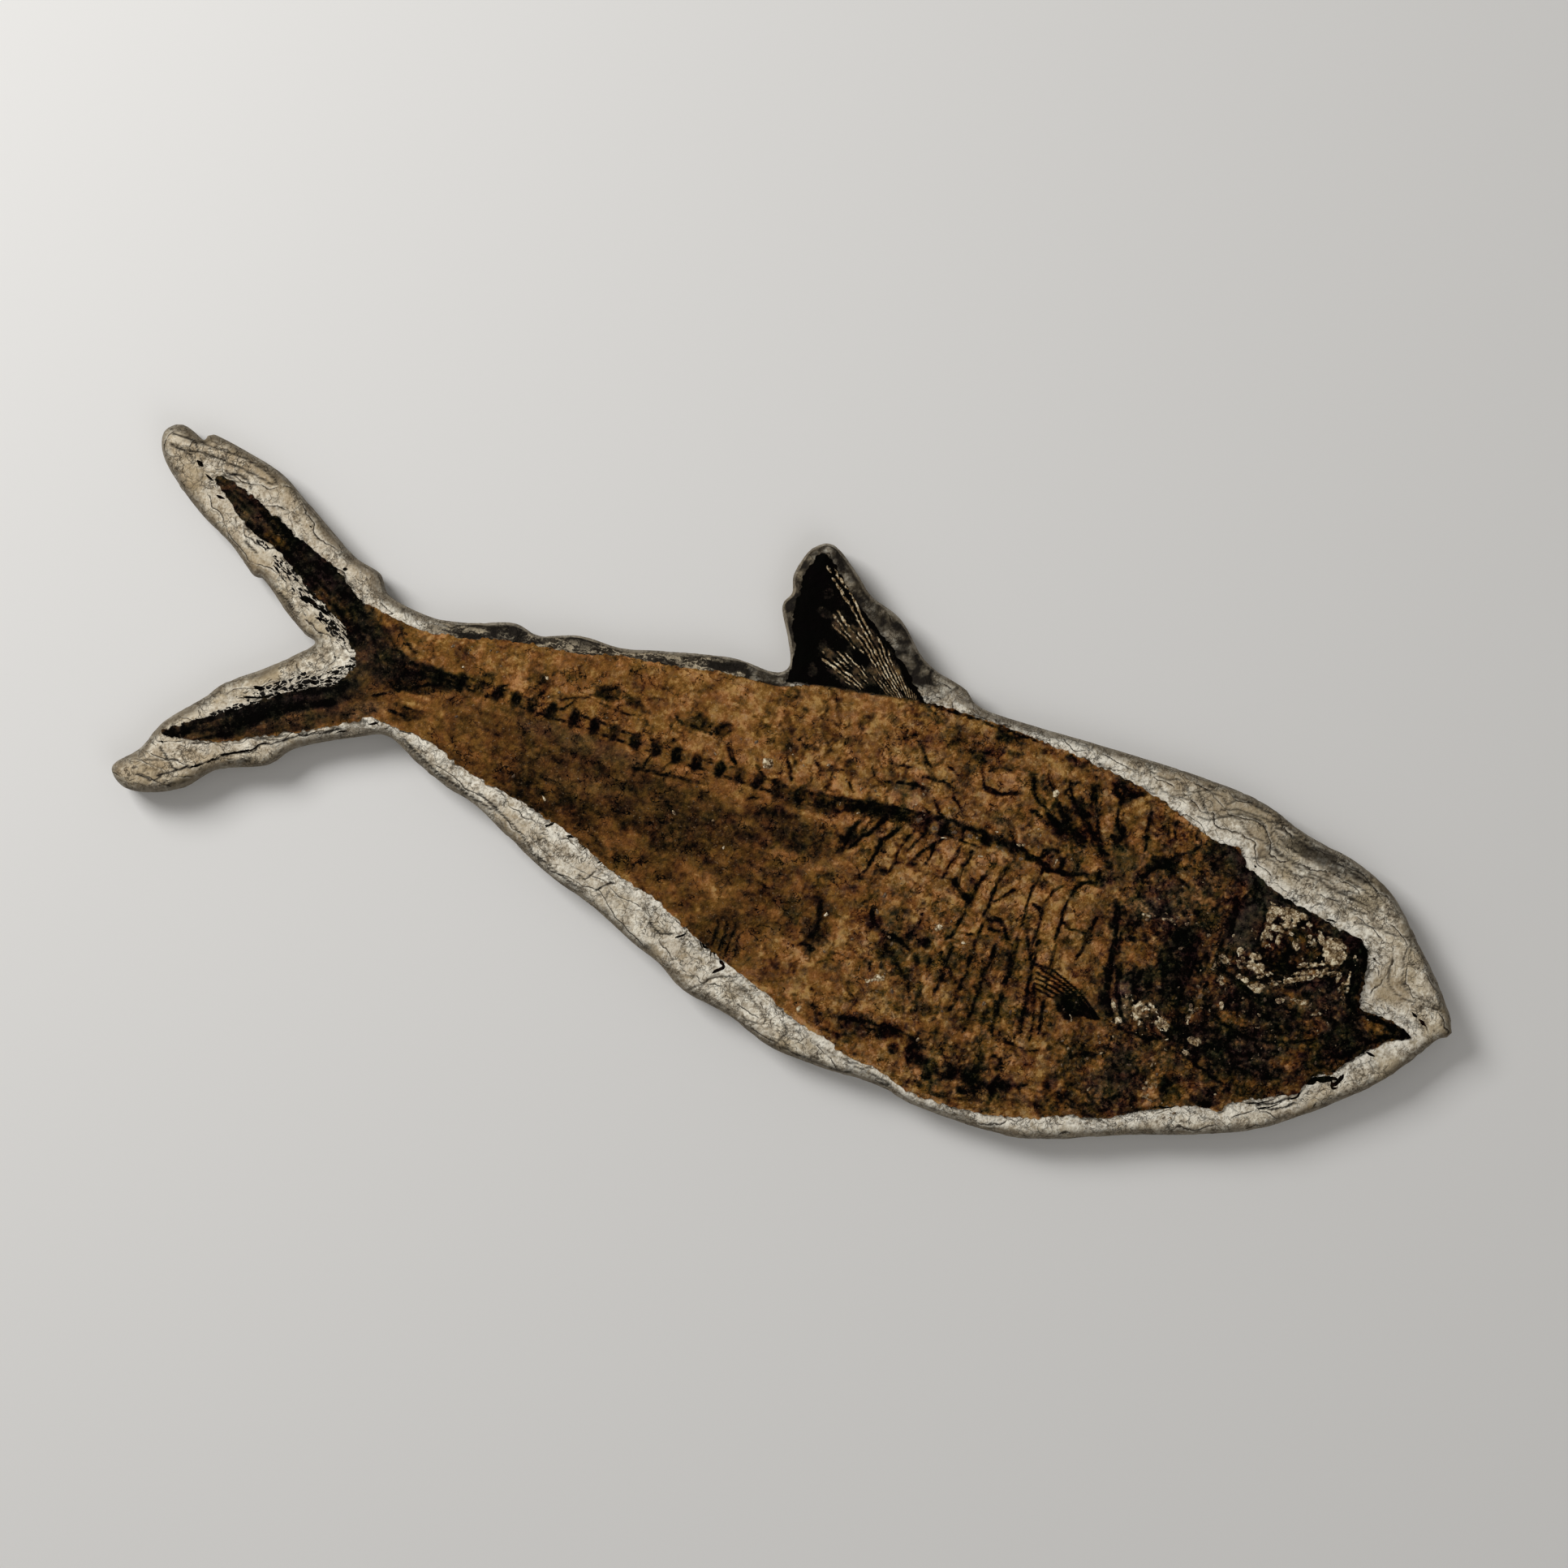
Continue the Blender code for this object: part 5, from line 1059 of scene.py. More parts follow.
def film_marks(x, y):
    """Darkness, greyness, paleness and relief of the film at each place."""
    far, near = cloud(x, y, 5, 61), cloud(x, y, 1.6, 62)
    bent_x, bent_y = x + 1.6 * far + 0.6 * near, y + 1.6 * cloud(x, y, 5, 63) + 0.6 * cloud(x, y, 1.6, 64)
    thin_x = x + 0.7 * cloud(x, y, 3, 65) + 0.35 * cloud(x, y, 1.0, 66)
    thin_y = y + 0.7 * cloud(x, y, 3, 67) + 0.35 * cloud(x, y, 1.0, 68)
    dark = np.full(x.shape, BARE_FILM)
    grey = np.zeros(x.shape)
    for *place, darkness, greyness in WASHES:
        cover = wash(bent_x, bent_y, place)
        dark += (darkness - dark) * cover
        grey += (greyness - grey) * cover
    head = fade(x, 108, 124)
    body = (1 - head) * fade(x, -145, -130)
    back = np.interp(x, back_line[:, 0], back_line[:, 1])
    above_spine = y - np.interp(x, spine_line[:, 0], spine_line[:, 1])
    fin_part = fade(y - back, -0.3, 0.8) * fade(x, 40, 34) * fade(x, -30, -24)
    tail = fade(x, -136, -146)
    dark -= 0.045 * fade(x, 12, 24) * fade(x, 112, 104) * fade(y, 4, -2)
    dark += 0.03 * fade(x, 25, 45) * fade(x, 108, 100) * fade(y, 8, 14)
    # blotches, patches like worn scales, and crumbs, of several sizes
    rear = fade(x, 15, -15) * fade(above_spine, 0, -4)
    tone = 0.12 * cloud(x, y, 8, 71) + (0.16 + 0.09 * fade(x, 10, 50)) * cloud(x, y, 2.6, 72, 4)
    tone += 0.14 * cloud(x, y, 0.9, 69, 2)
    tone += 0.26 * cloud(x, y / 5, 1.5, 73) * fade(x, 45, 65) * fade(x, 108, 98) * fade(y, 2, -20)
    tone += (0.16 * cloud(x / 4, y, 1.4, 73) + 0.04) * rear
    along = np.where(y > 0, x * 0.88 - y * 0.47, x * 0.84 + y * 0.54)
    across = np.where(y > 0, x * 0.47 + y * 0.88, y * 0.84 - x * 0.54)
    tone += 0.34 * cloud(along / 9, across, 1.1, 70) * tail
    first, rest, pick = cells(thin_x, thin_y, 2.1, 74)
    tone += (0.12 + 0.20 * head) * (pick - 0.5) * fade(rest, 0.0, 0.12)
    small, small_rest, small_pick = cells(thin_x, thin_y, 1.25, 50)
    flecks = fade(small_pick, 0.70, 0.82) * fade(small, 0.62, 0.34)
    tone -= (0.07 + 0.20 * head) * flecks
    seam, scale_pick = cells(bent_x, bent_y * 0.8, 5.0, 52)[1:]
    tone += 0.16 * body * (scale_pick - 0.5)
    crumbly = fade(dark, 0.32, 0.55) * fade(dark, 1.0, 0.88)
    dark += (tone * (1 - 0.45 * fade(dark, 0.85, 1.0)) * (1 + 0.8 * crumbly * fade(x, 10, 35) * body)
             * (1 - 0.1 * rear))
    dark += 0.28 * fade(rest, 0.12, 0.02) * (0.8 * head + 0.4 * crumbly) * (1 - dark)
    grey += 0.32 * fade(pick, 0.62, 0.85) * (0.5 * body + 0.4 * head) * fade(x, -40, 30) * (1 - grey)
    slate = wash(x, y, (146.5, 8, 4.5, 6.5, -12))
    # thin broken cracks round the patches, smudges and specks
    crack = fade(np.abs(cloud(bent_x, bent_y, 6.0, 75, 3)), 0.13, 0.04) * fade(cloud(x, y, 5, 76), -0.05, 0.3)
    crack = np.maximum(crack, 0.9 * fade(seam, 0.12, 0.03) * fade(cloud(x, y, 4, 55), 0.05, 0.35))
    thin_crack = fade(np.abs(cloud(thin_x, thin_y, 2.8, 48, 3)), 0.10, 0.02)
    crack = np.maximum(crack, thin_crack * fade(cloud(x, y, 7, 47), 0.05, 0.4))
    smudge = fade(cloud(bent_x, bent_y, 4, 77, 4), 0.28, 0.55) * (1 - 0.45 * fade(x, 10, -20))
    pepper = fade(cloud(x, y, 1.3, 80, 2), 0.34, 0.5) * fade(cloud(x, y, 9, 60), -0.1, 0.4)
    # short strokes left by spines above the backbone and by ribs below it
    leaning = cloud((x * 0.5 - y * 0.87) / 3.5, x * 0.87 + y * 0.5, 1.7, 54)
    leaning = (fade(leaning, 0.36, 0.62) * fade(above_spine, 1.5, 3.5) * fade(above_spine, 17, 8)
               * fade(x, -100, -55) * fade(x, 106, 98))
    falling = cloud((x * 0.45 + y * 0.89) / 3.5, x * 0.89 - y * 0.45, 1.7, 53)
    falling = (fade(falling, 0.30, 0.6) * fade(above_spine, -1.5, -3) * fade(above_spine, -17, -8)
               * fade(x, 14, 24) * fade(x, 70, 58))
    marks = 0.48 * np.maximum(crack, smudge) + 0.32 * pepper + 0.55 * np.maximum(leaning, falling)
    upper_rear = fade(x, 0, -25) * fade(above_spine, 3, 5)
    dark += np.clip(marks * (1 - 0.5 * rear - 0.3 * upper_rear), 0, 0.75) * (1 - dark)
    dark += (0.76 + 0.4 * cloud(x, y, 1.6, 42, 3) - dark) * 0.75 * slate
    # bones and stains: a dark core, patchy and broken, in a softer brown halo
    broken = fade(cloud(x, y, 1.7, 78, 3), -0.32, 0.28)
    gap, firm = np.full((2, *x.shape), 9.0)
    for start_width, end_width, path in INKED:
        width = gap_to(thin_x, thin_y, path, 0.7 * start_width, 0.7 * end_width)
        gap = np.minimum(gap, width)
        if 1 <= start_width < 1.5:
            firm = np.minimum(firm, width)
    joint = np.zeros(x.shape)
    for number, joint_x in enumerate(JOINTS[:DOTTED_JOINTS]):
        middle = np.interp(joint_x, spine_line[:, 0], spine_line[:, 1])
        joint_gap = np.hypot((thin_x - joint_x) * 1.1, (thin_y - middle) * 0.62) / 1.8
        joint = np.maximum(joint, (0.6 + 0.4 * chance(number, 3, 43)) * fade(joint_gap, 1.3, 0.65))
    waist = fade(np.abs(above_spine), 2.9, 1.4) * fade(x, 82, 66)
    dark += np.maximum(0.38 + 0.17 * fade(x, 12, 28) + 0.15 * near - dark, 0) * waist
    gap *= 1 + 0.4 * cloud(x, y, 1.3, 46, 2)
    bone = fade(gap, 1.3, 0.55) * (0.3 + 0.7 * broken)
    bone = np.maximum(bone, fade(firm, 1.25, 0.75) * (0.75 + 0.25 * broken))
    halo = fade(gap, 3.2, 0.9) * fade(cloud(x, y, 1.9, 51, 3), -0.45, 0.35)
    rails = (fade(np.abs(np.abs(above_spine + 0.5 * near) - 1.6), 0.65, 0.25)
             * fade(x, 60, 50) * fade(x, -128, -122))
    bone = np.maximum(bone, 0.8 * rails * broken)
    bone = np.maximum(bone, joint * (0.7 + 0.3 * broken))
    bone *= 1 - 0.35 * upper_rear
    dark += np.maximum(0.9 - dark, 0) * 0.38 * halo
    rays = np.zeros(x.shape)
    for start_width, end_width, path in PECTORAL_FIN:
        rays = np.maximum(rays, streak(x, y, path, start_width, end_width))
    bone = np.maximum(bone, 0.95 * rays)
    dark += np.maximum(1.04 - dark, 0) * np.clip(1.1 * bone, 0, 1)
    for *place, darkness in BEADS:
        dark += (darkness + 0.3 * near + 0.12 * (pick - 0.5) - dark) * 0.9 * wash(thin_x, thin_y, place)
    roof = np.maximum(wash(thin_x, thin_y, (144, 24, 12, 3.6, -24)),
                      wash(thin_x, thin_y, (166, 17.3, 14, 2.0, -14)))
    dark -= 0.17 * roof
    # the dorsal fin: black, with pale splits between the rays, which sweep back from its front root
    ahead, above = x - FIN_ROOT[0], y - FIN_ROOT[1]
    turn, reach = np.arctan2(above + 0.4 * near, ahead), np.hypot(ahead, above)
    fin_dark = np.full(x.shape, 1.2)
    for *place, darkness, greyness in FIN_WASHES:
        cover = wash(thin_x, thin_y, place)
        fin_dark += (darkness - fin_dark) * cover
    light = fade(fin_dark, 1.0, 0.7)
    bright = np.zeros(x.shape)
    for start_width, end_width, path in FIN_RAYS:
        bright = np.maximum(bright, streak(thin_x, thin_y, path, start_width, end_width))
    strand = fade(cloud(reach / 5, turn * 30, 1.0, 58, 3), -0.35, 0.25)
    threads = np.maximum(0.8 * light * strand * fade(x, -8, -3), bright) * fin_part
    fin_dark += 0.25 * cloud(x, y, 1.2, 45, 2) * light - 0.4 * bright * (fin_dark - 0.6)
    dark += (fin_dark - dark) * fin_part
    grey += (0.6 - grey) * fin_part
    pale = np.zeros(x.shape)
    for *place, strength in PALE_SPOTS:
        pale = np.maximum(pale, strength * wash(thin_x, thin_y, place))
    pale *= 0.72 + 0.28 * fade(small_pick + 0.6 * small_rest + 0.5 * cloud(x, y, 1.2, 57), 0.15, 0.5)
    pale *= 0.35 + 0.65 * fade(cloud(x, y, 2.0, 44, 3), -0.35, 0.1)
    for start_width, end_width, path in PALE_LINES:
        pale = np.maximum(pale, 0.8 * streak(thin_x, thin_y, path, start_width, end_width) * broken)
    crumbs = ((0.28 + 0.15 * fade(x, 15, 45) + 0.04 * head) * (1 - 0.4 * rear) * (1 - 0.6 * fin_part)
              * (1 - 0.75 * slate))
    rise = 0.14 * cloud(x, y, 2.5, 79) + 0.20 * bone + (0.14 + 0.30 * head) * (0.5 - first) + 0.22 * pale
    rise += 0.10 * cloud(x, y, 1.2, 56) + (0.08 + 0.16 * head) * (0.5 - small)
    return {"dark": np.clip(dark, 0, 1.2), "grey": np.clip(grey, 0, 1), "pale": np.clip(pale, 0, 1),
            "crumbs": crumbs, "threads": threads, "rays": 27 * turn + 0.5 * cloud(x, y, 8, 59)}, rise


def within(x, y, middle, long, wide):
    """Distance from an oval's middle as a share of its radius."""
    return np.hypot((x - middle[0]) / long, (y - middle[1]) / wide)


def film_top(x, y):
    """Height of the film without its small relief: thin at its edge, swollen along the body."""
    inside = -outside_fish(x, y)
    low = np.interp(x, belly_line[:, 0], belly_line[:, 1])
    high = np.interp(x, back_line[:, 0], back_line[:, 1])
    across = np.clip((y - low) / (high - low), 0, 1)
    crown = 1 - np.abs(2 * across - 1) ** 3
    swell = np.clip((x + 146) / 50, 0, 1) * np.clip((196 - x) / 14, 0, 1)
    rise = 1.5 + 0.7 * np.clip((x - 108) / 14, 0, 1)
    rise = crown * swell * rise + 0.45 * fade(gill_cover(x, y), 1.0, -2.0)
    socket = within(x, y, EYE, *SOCKET)
    rise += 0.35 * fade(np.abs(socket - 1), 0.22, 0.0) - 0.35 * fade(socket, 0.95, 0.7)
    rise += 0.45 * np.sqrt(np.clip(1 - within(x, y, EYE, *EYEBALL) ** 2, 0, 1))
    return STONE_TOP + FILM_EDGE + FILM_FULL * fade(inside, -0.3, FILM_EDGE_REACH) + rise


def ragged(outline, amount, seed):
    """A closed outline worn back and forth by small notches."""
    along = np.roll(outline, -1, 0) - np.roll(outline, 1, 0)
    sideways = np.column_stack([-along[:, 1], along[:, 0]]) / np.maximum(np.hypot(*along.T), 1e-6)[:, None]
    x, y = outline.T
    wear = 0.5 * cloud(x, y, 3.5, seed, 2) + 0.9 * cloud(x, y, 1.1, seed + 1, 2)
    wear += 0.8 * fade(cloud(x, y, 2.0, seed + 2), 0.1, 0.5)
    return outline + sideways * (amount * wear)[:, None]


def fossil_piece(name, mesh):
    """Adds a finished mesh to the scene as part of the fossil."""
    mesh.materials.append(fossil)
    piece = bpy.data.objects.new(name, mesh)
    scene.collection.objects.link(piece)
    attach(piece, "root")
    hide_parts("fossil_fish")


def film_sheet(name, outline, cell, lowered):
    """One sheet of the film, cut to its outline and closed underneath."""
    sheet = trimmed_sheet(outline, cell)
    close_below(sheet, [FILM_BOTTOM])
    mesh = bpy.data.meshes.new(name)
    sheet.to_mesh(mesh)
    sheet.free()
    spots, top = places(mesh)
    x, y = spots[top, 0], spots[top, 1]
    marks, rise = film_marks(x, y)
    edge = fade(-outside_fish(x, y), 0.2, 2.0)
    spots[top, 2] = film_top(x, y) + rise * (0.25 + 0.75 * edge) - lowered(x, y)
    mesh.vertices.foreach_set("co", (spots * MM).ravel())
    for key, values in marks.items():
        whole = np.full(len(spots), FILM_SIDE_DARK if key == "dark" else 0.0)
        whole[top] = values
        paint(mesh, key, whole)
    mesh.shade_smooth()
    mesh.set_sharp_from_angle(angle=math.radians(60))
    fossil_piece(name, mesh)


fossil, tree, shader = bare_material("fossil_film", 0.7, 0.012)
place = add(tree, "TexCoord").outputs["Object"]
tone, bumps = grain_of(tree, 0.0005)
# crumbs of the crushed bone: each has its own tone, and some are greyer than the rest
bent = wavering(tree, place, 650.0, 2.0, 0.0016)
crumb = add(tree, "TexVoronoi", Vector=bent, Scale=900.0)
crumb_chance = add(tree, "SeparateColor", Color=crumb.outputs["Color"])
lump = add(tree, "TexVoronoi", Vector=bent, Scale=420.0)
lump_chance = add(tree, "SeparateColor", Color=lump.outputs["Color"])
mosaic = plus(tree, times(tree, crumb_chance.outputs[0], 0.55), times(tree, lump_chance.outputs[0], 0.45))
mosaic = times(tree, minus(tree, mosaic, 0.5), mask(tree, "crumbs"))
streaky = noise(tree, place, 520.0, 4.0, 0.65)
patches = noise(tree, place, 90.0, 1.0)
rough = times(tree, minus(tree, tone, 0.5), plus(tree, 0.1, times(tree, patches, 1.5)))
darkness = plus(tree, plus(tree, mask(tree, "dark"), mosaic), rough)
darkness = plus(tree, darkness, times(tree, minus(tree, streaky, 0.5), 0.55))
# thin curling cracks, here and there
curl = noise(tree, place, 210.0, 3.0, 0.55)
curl = sums(tree, "ABSOLUTE", minus(tree, curl, 0.5), 0.0)
where = noise(tree, place, 130.0, 1.0)
curls = times(tree, rising(tree, curl, 0.016, 0.006), rising(tree, where, 0.48, 0.58))
darkness = plus(tree, darkness, times(tree, curls, 0.42))
# the fin's rays: thin threads with black between them
thread = sums(tree, "FRACT", plus(tree, mask(tree, "rays"), times(tree, streaky, 0.9)), 0.0)
thread = ramp(tree, thread, (0.0, (0, 0, 0)), (0.62, (0, 0, 0)), (0.25, (1, 1, 1)), (0.42, (1, 1, 1)))
thread_gaps = times(tree, minus(tree, 1.0, thread), mask(tree, "threads"))
darkness = plus(tree, darkness, times(tree, thread_gaps, 0.5))
base = ramp(tree, darkness, (0.0, (0.46, 0.243, 0.092)), (1.0, (0.0014, 0.0011, 0.0008)),
            (0.24, (0.235, 0.102, 0.0262)), (0.5, (0.104, 0.047, 0.0122)), (0.7, (0.034, 0.0165, 0.0056)),
            (0.86, (0.0065, 0.0042, 0.0024)))
grey_tones = ramp(tree, darkness, (0.0, (0.38, 0.29, 0.20)), (1.0, (0.002, 0.0018, 0.0016)),
                  (0.25, (0.23, 0.145, 0.082)), (0.5, (0.085, 0.062, 0.043)),
                  (0.75, (0.030, 0.024, 0.019)), (0.9, (0.011, 0.0095, 0.0085)))
greyish = times(tree, sums(tree, "GREATER_THAN", crumb_chance.outputs[1], 0.72), mask(tree, "crumbs"))
base = colour_mix(tree, plus(tree, mask(tree, "grey"), times(tree, greyish, 0.6), True), base, grey_tones)
hue = ramp(tree, noise(tree, place, 260.0, 3.0), (0.38, (0.92, 1.0, 0.80)), (0.62, (1.07, 0.95, 0.94)))
base = colour_mix(tree, 0.85, base, hue, "MULTIPLY")
tint = add(tree, "TexNoise", Vector=place, Scale=150.0, Detail=3.0, Roughness=0.6).outputs["Color"]
tint = add(tree, "SeparateColor", Color=tint).outputs[1]
tint = ramp(tree, tint, (0.36, (0.72, 1.12, 0.80)), (0.64, (1.35, 0.74, 1.0)), (0.5, (1.0, 0.95, 0.95)))
tinted = sums(tree, "SUBTRACT", times(tree, darkness, 1.6), 0.5, True)
tinted = times(tree, tinted, times(tree, mask(tree, "crumbs"), 2.6, True))
base = colour_mix(tree, tinted, base, colour_mix(tree, 1.0, base, tint, "MULTIPLY"))
specks = rising(tree, noise(tree, place, 1500.0, 1.0), 0.68, 0.75)
specks = times(tree, specks, sums(tree, "SUBTRACT", 0.5, times(tree, darkness, 0.45), True))
base = colour_mix(tree, specks, base, (0.42, 0.30, 0.18, 1))
# calcite: a tan crust with creamier grains in it, its edge eaten away
dusty = noise(tree, place, 900.0, 2.0)
crusty = noise(tree, bent, 620.0, 4.0, 0.7)
calcite_dust = ramp(tree, crusty, (0.36, (0.045, 0.026, 0.012)), (0.63, (0.86, 0.75, 0.53)),
                    (0.43, (0.16, 0.10, 0.048)), (0.51, (0.38, 0.275, 0.15)))
crystals = plus(tree, mask(tree, "pale"), times(tree, times(tree, thread, mask(tree, "threads")), 0.8))
crystals = times(tree, crystals, minus(tree, times(tree, dusty, 3.0), 0.5))
base = colour_mix(tree, rising(tree, crystals, 0.22, 0.46), base, calcite_dust)
relief = minus(tree, bumps, times(tree, crumb.outputs["Distance"], mask(tree, "crumbs")))
dress(tree, shader, base, 0.8, 0.0004, relief)

upper_tail, lower_tail, fin = fish_parts[1:]
body_outline = np.vstack([FORK_LINE, back_line[back_line[:, 0] < BODY_END],
                          belly_line[belly_line[:, 0] < BODY_END][::-1]])
head_outline = np.vstack([back_line[back_line[:, 0] > HEAD_START],
                          belly_line[belly_line[:, 0] > HEAD_START][::-1]])


def filled(outline, step=0.35):
    """The outline with places added so that none are more than a step apart."""
    around = np.vstack([outline, outline[:1]])
    runs = np.concatenate([[0], np.cumsum(np.hypot(*np.diff(around, axis=0).T))])
    even = np.linspace(0, runs[-1], math.ceil(runs[-1] / step), endpoint=False)
    return np.column_stack([np.interp(even, runs, around[:, 0]), np.interp(even, runs, around[:, 1])])


film_sheet("body_film", ragged(filled(body_outline), 0.6, 81), BODY_CELL,
           lambda x, y: 0.5 * fade(x, 107, 110.5) + 0.6 * fade(x, -137, -141))
film_sheet("head_film", ragged(filled(head_outline), 0.6, 83), HEAD_CELL,
           lambda x, y: 0.5 * fade(x, 109, 106))
for name, outline, seed in (("tail_upper_lobe", upper_tail, 85), ("tail_lower_lobe", lower_tail, 87)):
    film_sheet(name, ragged(filled(outline), 0.65, seed), FIN_CELL, lambda x, y: 0.7 * fade(x, -140, -134))
film_sheet("dorsal_fin", ragged(filled(fin), 0.7, 89), FIN_CELL,
           lambda x, y: 0.25 + 0.5 * fade(fish_distances[0](x, y), 0.2, -1.5))


def settle(mesh, name, spots, dark=None):
    """Gives a piece of bone its colours from the film's marks where it lies, and adds it."""
    marks = film_marks(spots[:, 0], spots[:, 1])[0]
    marks["dark"] = marks["dark"] if dark is None else dark(marks["dark"])
    for key, values in marks.items():
        paint(mesh, key, values)
    mesh.vertices.foreach_set("co", (spots * MM).ravel())
    mesh.shade_smooth()
    fossil_piece(name, mesh)


def rods(name, paths, flatness, seed, step=0.7, snap=0.42):
    """Thin round rods along lines, pinched and lifted here and there, and snapped into lengths."""
    curve = bpy.data.curves.new(name, "CURVE")
    curve.dimensions = "3D"
    curve.bevel_depth = 1.0
    curve.bevel_resolution = 2
    curve.use_fill_caps = True
    for start_width, end_width, path in paths:
        line = smooth_line(path, step)
        x = line[:, 0] + 0.5 * cloud(*line.T, 3.0, seed + 1)
        y = line[:, 1] + 0.5 * cloud(*line.T, 3.0, seed + 2)
        width = np.linspace(start_width, end_width, len(line)) * (0.76 + 0.4 * cloud(x, y, 1.8, seed))
        lift = 0.25 * width * cloud(x, y, 3.5, seed + 3) / flatness
        snapped = np.flatnonzero(cloud(x, y, 2.2, seed + 4, 2) > snap)
        for length in np.split(np.arange(len(line)), snapped):
            if len(length) < 3:
                continue
            spline = curve.splines.new("POLY")
            spline.points.add(len(length) - 1)
            steps_in = np.arange(len(length))
            ends = np.sqrt(np.clip(np.minimum(steps_in, steps_in[::-1]) / 2, 0.05, 1))
            for point, i, narrowed in zip(spline.points, length, ends):
                point.co = (x[i], y[i], lift[i], 1)
                point.radius = width[i] * narrowed
    shape = bpy.data.objects.new(name, curve)
    mesh = bpy.data.meshes.new_from_object(shape)
    bpy.data.objects.remove(shape)
    return mesh


def bone_set(name, paths, flatness, seed):
    """Bones half sunk in the film, and a little darker than it."""
    mesh = rods(name, paths, flatness, seed)
    spots = places(mesh)[0]
    spots[:, 2] = film_top(spots[:, 0], spots[:, 1]) + flatness * spots[:, 2]
    settle(mesh, name, spots, lambda dark: np.maximum(dark, BONE_DARK))


bone_set("ribs", RIBS, 0.55, 101)
bone_set("neural_spines", SPINES, 0.5, 111)
bone_set("nape_bones", NAPE_BONES, 0.5, 121)
bone_set("shoulder_girdle", SHOULDER_BONES, 0.55, 131)
bone_set("pectoral_fin_rays", PECTORAL_FIN, 0.7, 141)
bone_set("skull_bones", SKULL_BONES, 0.45, 151)
bone_set("jaw_bones", JAW_BONES, 0.5, 161)

# The backbone: spool-shaped vertebrae in a row, flattened and half sunk in the film. Their wide
# ends meet at the joints, which stayed black, and their waists show as brown or pinkish lumps.
# Outline of half a vertebra, as shares of its length and radius
SPOOL = (
    (-0.5, 0.0), (-0.5, 0.8), (-0.42, 1.0), (-0.22, 0.72), (0.0, 0.6), (0.22, 0.72), (0.42, 1.0),
    (0.5, 0.8), (0.5, 0.0),
)
SPOOL_SIDES = 14
SPOOL_FILL = 0.97
SPOOL_FLATNESS = 0.55
SPOOL_RADIUS = 1.45
SPOOL_SUNK = 0.35
spool = bmesh.new()
corners = [spool.verts.new((along, 0, radius)) for along, radius in SPOOL]
profile = [spool.edges.new(pair) for pair in zip(corners, corners[1:])]
bmesh.ops.spin(spool, geom=corners + profile, cent=(0, 0, 0), axis=(1, 0, 0), angle=math.tau,
               steps=SPOOL_SIDES, use_merge=True)
bmesh.ops.remove_doubles(spool, verts=spool.verts, dist=1e-4)
bmesh.ops.subdivide_edges(spool, edges=spool.edges, cuts=1, use_grid_fill=True)
bmesh.ops.recalc_face_normals(spool, faces=spool.faces)
spool_mesh = bpy.data.meshes.new("spool")
spool.to_mesh(spool_mesh)
spool.free()
column = bmesh.new()
for start, end in zip(JOINTS, JOINTS[1:]):
    height = np.interp((start, end), spine_line[:, 0], spine_line[:, 1])
    tilt = math.atan2(height[1] - height[0], end - start)
    length = SPOOL_FILL * math.hypot(end - start, height[1] - height[0])
    done = len(column.verts)
    column.from_mesh(spool_mesh)
    column.verts.ensure_lookup_table()
    bmesh.ops.transform(column, verts=column.verts[done:], matrix=(
        Matrix.Translation(((start + end) / 2, height.mean(), 0)) @ Matrix.Rotation(tilt, 4, "Z")
        @ Matrix.Diagonal((length, SPOOL_RADIUS, SPOOL_RADIUS * SPOOL_FLATNESS, 1))))
bpy.data.meshes.remove(spool_mesh)
column_mesh = bpy.data.meshes.new("vertebral_column")
column.to_mesh(column_mesh)
column.free()
spots = places(column_mesh)[0]
x, y = spots[:, 0], spots[:, 1]
spots[:, 2] += film_top(x, y) - SPOOL_SUNK
spots[:, 2] += 0.12 * cloud(x, y, 1.0, 171)
spots[:, 1] += 0.25 * cloud(x, y, 1.6, 172)
settle(column_mesh, "vertebral_column", spots)

